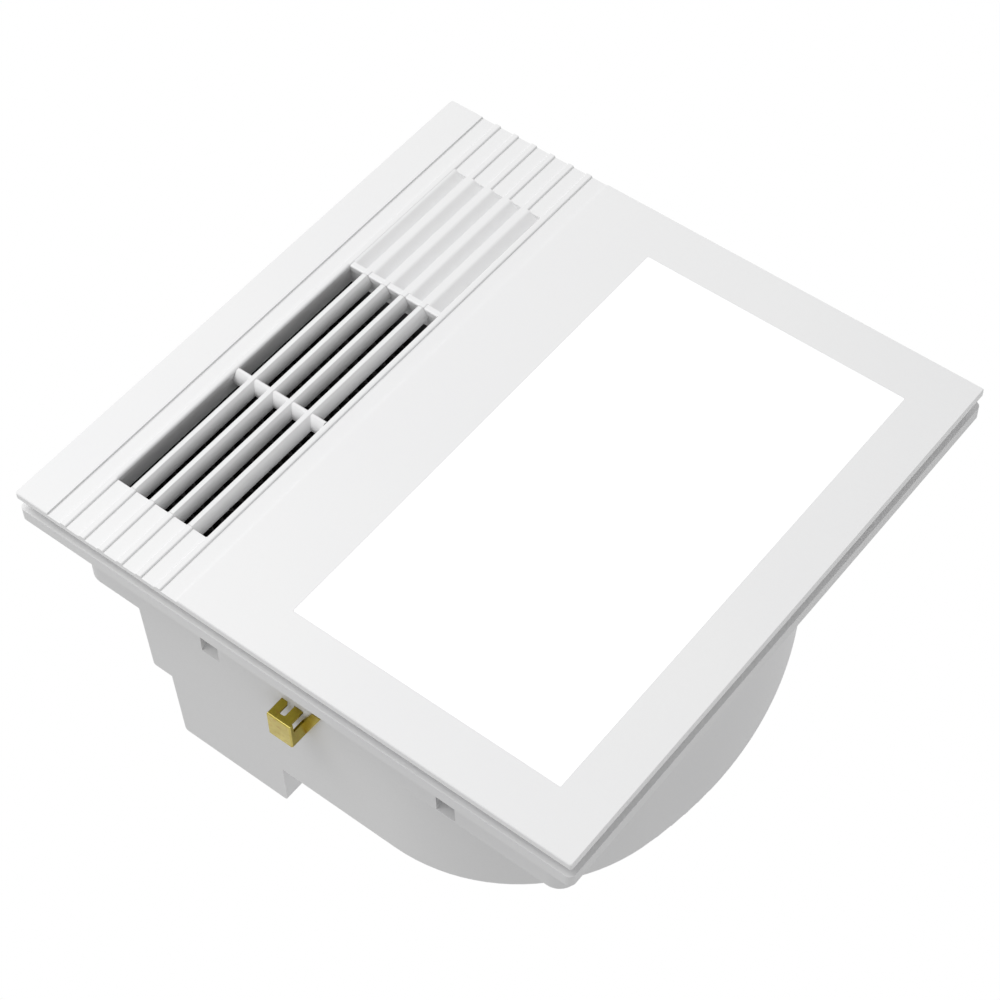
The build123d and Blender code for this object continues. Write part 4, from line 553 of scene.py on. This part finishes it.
# Relays
# Blue cases with a seam round the lid and softened edges.
def moulded_case(name, low, high, edge, lid):
    """A rectangular moulded case: softened edges and a shallow sunk lid with a rim."""
    low = Vector(low)
    high = Vector(high)
    size = high - low
    bpy.ops.object.select_all(action="DESELECT")
    bpy.ops.mesh.primitive_cube_add(size=1, location=(low + high) / 2)
    case = bpy.context.object
    case.name = name
    case.scale = size
    bpy.ops.object.transform_apply(location=True, rotation=True, scale=True)
    bpy.ops.object.mode_set(mode="EDIT")
    bpy.ops.mesh.select_all(action="SELECT")
    bpy.ops.mesh.bisect(plane_co=(0, 0, high.z - lid), plane_no=(0, 0, 1))
    bpy.ops.mesh.bevel(offset=edge / 3, segments=1)
    seam = bmesh.from_edit_mesh(case.data)
    for face in seam.faces:
        face.select = abs(face.normal.z) < 0.1 and abs(face.calc_center_median().z
                                                       - high.z + lid) < edge / 3
    bmesh.update_edit_mesh(case.data)
    bpy.ops.mesh.extrude_region_shrink_fatten(TRANSFORM_OT_shrink_fatten={"value": -edge / 3})
    top = bmesh.from_edit_mesh(case.data)
    for face in top.faces:
        face.select = face.normal.z > 0.9 and face.calc_center_median().z > high.z - edge / 3
    bmesh.update_edit_mesh(case.data)
    bpy.ops.mesh.inset(thickness=2 * edge)
    bpy.ops.mesh.extrude_region_move(TRANSFORM_OT_translate={"value": (0, 0, -edge / 2)})
    bpy.ops.object.mode_set(mode="OBJECT")
    soft = case.modifiers.new("soft_edges", "BEVEL")
    soft.width = edge
    soft.segments = 3
    soft.limit_method = "ANGLE"
    soft.angle_limit = radians(40)
    bpy.ops.object.modifier_apply(modifier="soft_edges")
    bpy.ops.object.shade_smooth_by_angle(angle=radians(40))
    return case


def solids_of(node):
    """The lowest and highest corners of each separate solid of a CAD node."""
    shape = bmesh.new()
    shape.from_mesh(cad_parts[node].data)
    bmesh.ops.remove_doubles(shape, verts=shape.verts, dist=0.000001)
    waiting = set(shape.verts)
    corners = []
    while waiting:
        edge_of_search = [waiting.pop()]
        found = []
        while edge_of_search:
            point = edge_of_search.pop()
            found.append(point.co.copy())
            for line in point.link_edges:
                other = line.other_vert(point)
                if other in waiting:
                    waiting.remove(other)
                    edge_of_search.append(other)
        low = tuple(min(co[axis] for co in found) for axis in range(3))
        high = tuple(max(co[axis] for co in found) for axis in range(3))
        corners.append((low, high))
    shape.free()
    return sorted(corners)


relay_blue = moulded("relay_blue", (0.03, 0.12, 0.42), (0.025, 0.10, 0.36), 0.32, 800.0,
                     0.00002, 60.0)
relay_edge = 0.0006
relay_lid = 0.004
for number, (low, high) in enumerate(solids_of("relays")):
    relay = moulded_case(f"relay_{number + 1}", low, high, relay_edge, relay_lid)
    relay.data.materials.append(relay_blue)
    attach(relay, "housing")
    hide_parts("relays")

# Fan capacitor
# A pale moulded case, filled with resin from its open end.
capacitor_pale = moulded("capacitor_pale", (0.78, 0.77, 0.72), (0.72, 0.71, 0.66), 0.3, 700.0,
                         0.00002, 45.0)
capacitor_edge = 0.0009
capacitor_lid = 0.003
capacitor_low, capacitor_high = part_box("fan_capacitor")
capacitor = moulded_case("fan_capacitor_case", capacitor_low, capacitor_high, capacitor_edge,
                         capacitor_lid)
capacitor.data.materials.append(capacitor_pale)
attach(capacitor, "housing")
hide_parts("fan_capacitor")

# Terminal block
# Off-white moulding with deep wells for the clamp screws.
terminal_white = moulded("terminal_white", (0.74, 0.73, 0.68), (0.69, 0.68, 0.63), 0.45, 1000.0,
                         0.00003, 50.0)
dress(terminal_white, "terminal_block")

# Flap motor
# A small geared motor in a drawn steel can, with two ears and a moulded plug.
can_zinc = galvanised("can_zinc", (0.60, 0.61, 0.63), (0.48, 0.49, 0.51), 0.3, 320.0)
dress(can_zinc, "flap_motor")


# Screws
# Zinc-plated steel with a domed head, a cross recess and a rolled thread; each kind is
# modelled once and copied to the places of its CAD node.
def turned(name, sides, rings):
    """A closed turned body: its rings are a radius and a height, one after another."""
    radius, height = rings[0]
    bpy.ops.object.select_all(action="DESELECT")
    bpy.ops.mesh.primitive_circle_add(vertices=sides, radius=radius, fill_type="NGON",
                                      location=(0, 0, height))
    body = bpy.context.object
    body.name = name
    bpy.ops.object.transform_apply(location=True, rotation=True, scale=True)
    bpy.ops.object.mode_set(mode="EDIT")
    bpy.ops.mesh.select_all(action="SELECT")
    for next_radius, next_height in rings[1:]:
        bpy.ops.mesh.extrude_region_move(
            TRANSFORM_OT_translate={"value": (0, 0, next_height - height)})
        share = next_radius / radius
        bpy.ops.transform.resize(value=(share, share, 1), center_override=(0, 0, next_height))
        radius = next_radius
        height = next_height
    bpy.ops.mesh.select_all(action="SELECT")
    bpy.ops.mesh.normals_make_consistent(inside=False)
    bpy.ops.object.mode_set(mode="OBJECT")
    return body


def cross_recess(body, width, reach, depth, top):
    """Cuts a tapered cross into the head of a screw."""
    bpy.ops.object.select_all(action="DESELECT")
    bpy.ops.mesh.primitive_cube_add(size=1, location=(0, 0, top))
    cutter = bpy.context.object
    cutter.scale = (width, width, 2 * depth)
    bpy.ops.object.transform_apply(location=True, rotation=True, scale=True)
    bpy.ops.object.mode_set(mode="EDIT")
    sides = bmesh.from_edit_mesh(cutter.data)
    for face in sides.faces:
        face.select = abs(face.normal.z) < 0.5
    bmesh.update_edit_mesh(cutter.data)
    bpy.ops.mesh.extrude_faces_move(
        TRANSFORM_OT_shrink_fatten={"value": reach - width / 2})
    deep = bmesh.from_edit_mesh(cutter.data)
    for face in deep.faces:
        face.select = face.normal.z < -0.5
    bmesh.update_edit_mesh(cutter.data)
    bpy.ops.transform.resize(value=(0.45, 0.45, 1), center_override=(0, 0, top - depth))
    bpy.ops.object.mode_set(mode="OBJECT")
    cut = body.modifiers.new("cross", "BOOLEAN")
    cut.object = cutter
    bpy.context.view_layer.objects.active = body
    bpy.ops.object.modifier_apply(modifier="cross")
    bpy.data.objects.remove(cutter)


screw_zinc = drawn("screw_zinc", (0.70, 0.71, 0.72), (0.55, 0.56, 0.58), 0.26, 1.0, 1.0, 0.25)
head_height = 0.0018
thread_pitch = 0.001
thread_root = 0.78
plate_screw = 0.00115
heater_screw = 0.001


def drive_screws(node, way, shank):
    """Stands modelled screws in the places of a screw node; way points to their tips."""
    way = Vector(way)
    places = solids_of(node)
    low, high = (Vector(corner) for corner in places[0])
    size = high - low
    length = abs(size.dot(way))
    head = (size.x + size.y + size.z - length) / 4
    rings = [(shank * 0.3, head_height - length)]
    level = head_height - length + thread_pitch
    while level < -thread_pitch:
        rings.append((shank * thread_root, level))
        rings.append((shank, level + thread_pitch / 3))
        level += thread_pitch
    rings += [(shank * thread_root, 0), (head * 0.97, 0), (head, head_height * 0.15),
              (head * 0.93, head_height * 0.5), (head * 0.72, head_height * 0.82),
              (head * 0.4, head_height)]
    master = turned(node + "_turned", 20, rings)
    cross_recess(master, head * 0.24, head * 0.58, head_height * 0.55, head_height)
    copies = []
    for low, high in places:
        middle = (Vector(low) + Vector(high)) / 2
        copy = bpy.data.objects.new(node + "_copy", master.data.copy())
        bpy.context.collection.objects.link(copy)
        copy.location = middle - way * (length / 2 - head_height)
        copy.rotation_euler = Vector((0, 0, -1)).rotation_difference(way).to_euler()
        copies.append(copy)
    bpy.data.objects.remove(master)
    bpy.ops.object.select_all(action="DESELECT")
    for copy in copies:
        copy.select_set(True)
    bpy.context.view_layer.objects.active = copies[0]
    bpy.ops.object.join()
    screws = bpy.context.object
    screws.name = node + "_turned"
    bpy.ops.object.transform_apply(location=True, rotation=True, scale=True)
    bpy.ops.object.shade_smooth_by_angle(angle=radians(35))
    screws.data.materials.clear()
    screws.data.materials.append(screw_zinc)
    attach(screws, "housing")
    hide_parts(node)


for node in ("grille_screws", "light_tray_screws", "hook_screws", "motor_screws",
             "wiring_box_screws", "wiring_cover_screws"):
    drive_screws(node, (0, 0, -1), plate_screw)
for node in ("scroll_floor_screws", "air_guide_screws"):
    drive_screws(node, (0, 0, 1), plate_screw)
drive_screws("heater_screws", (0, 0, 1), heater_screw)
drive_screws("spigot_screws", (-1, 0, 0), plate_screw)
drive_screws("flap_motor_screws", (0, 1, 0), plate_screw)
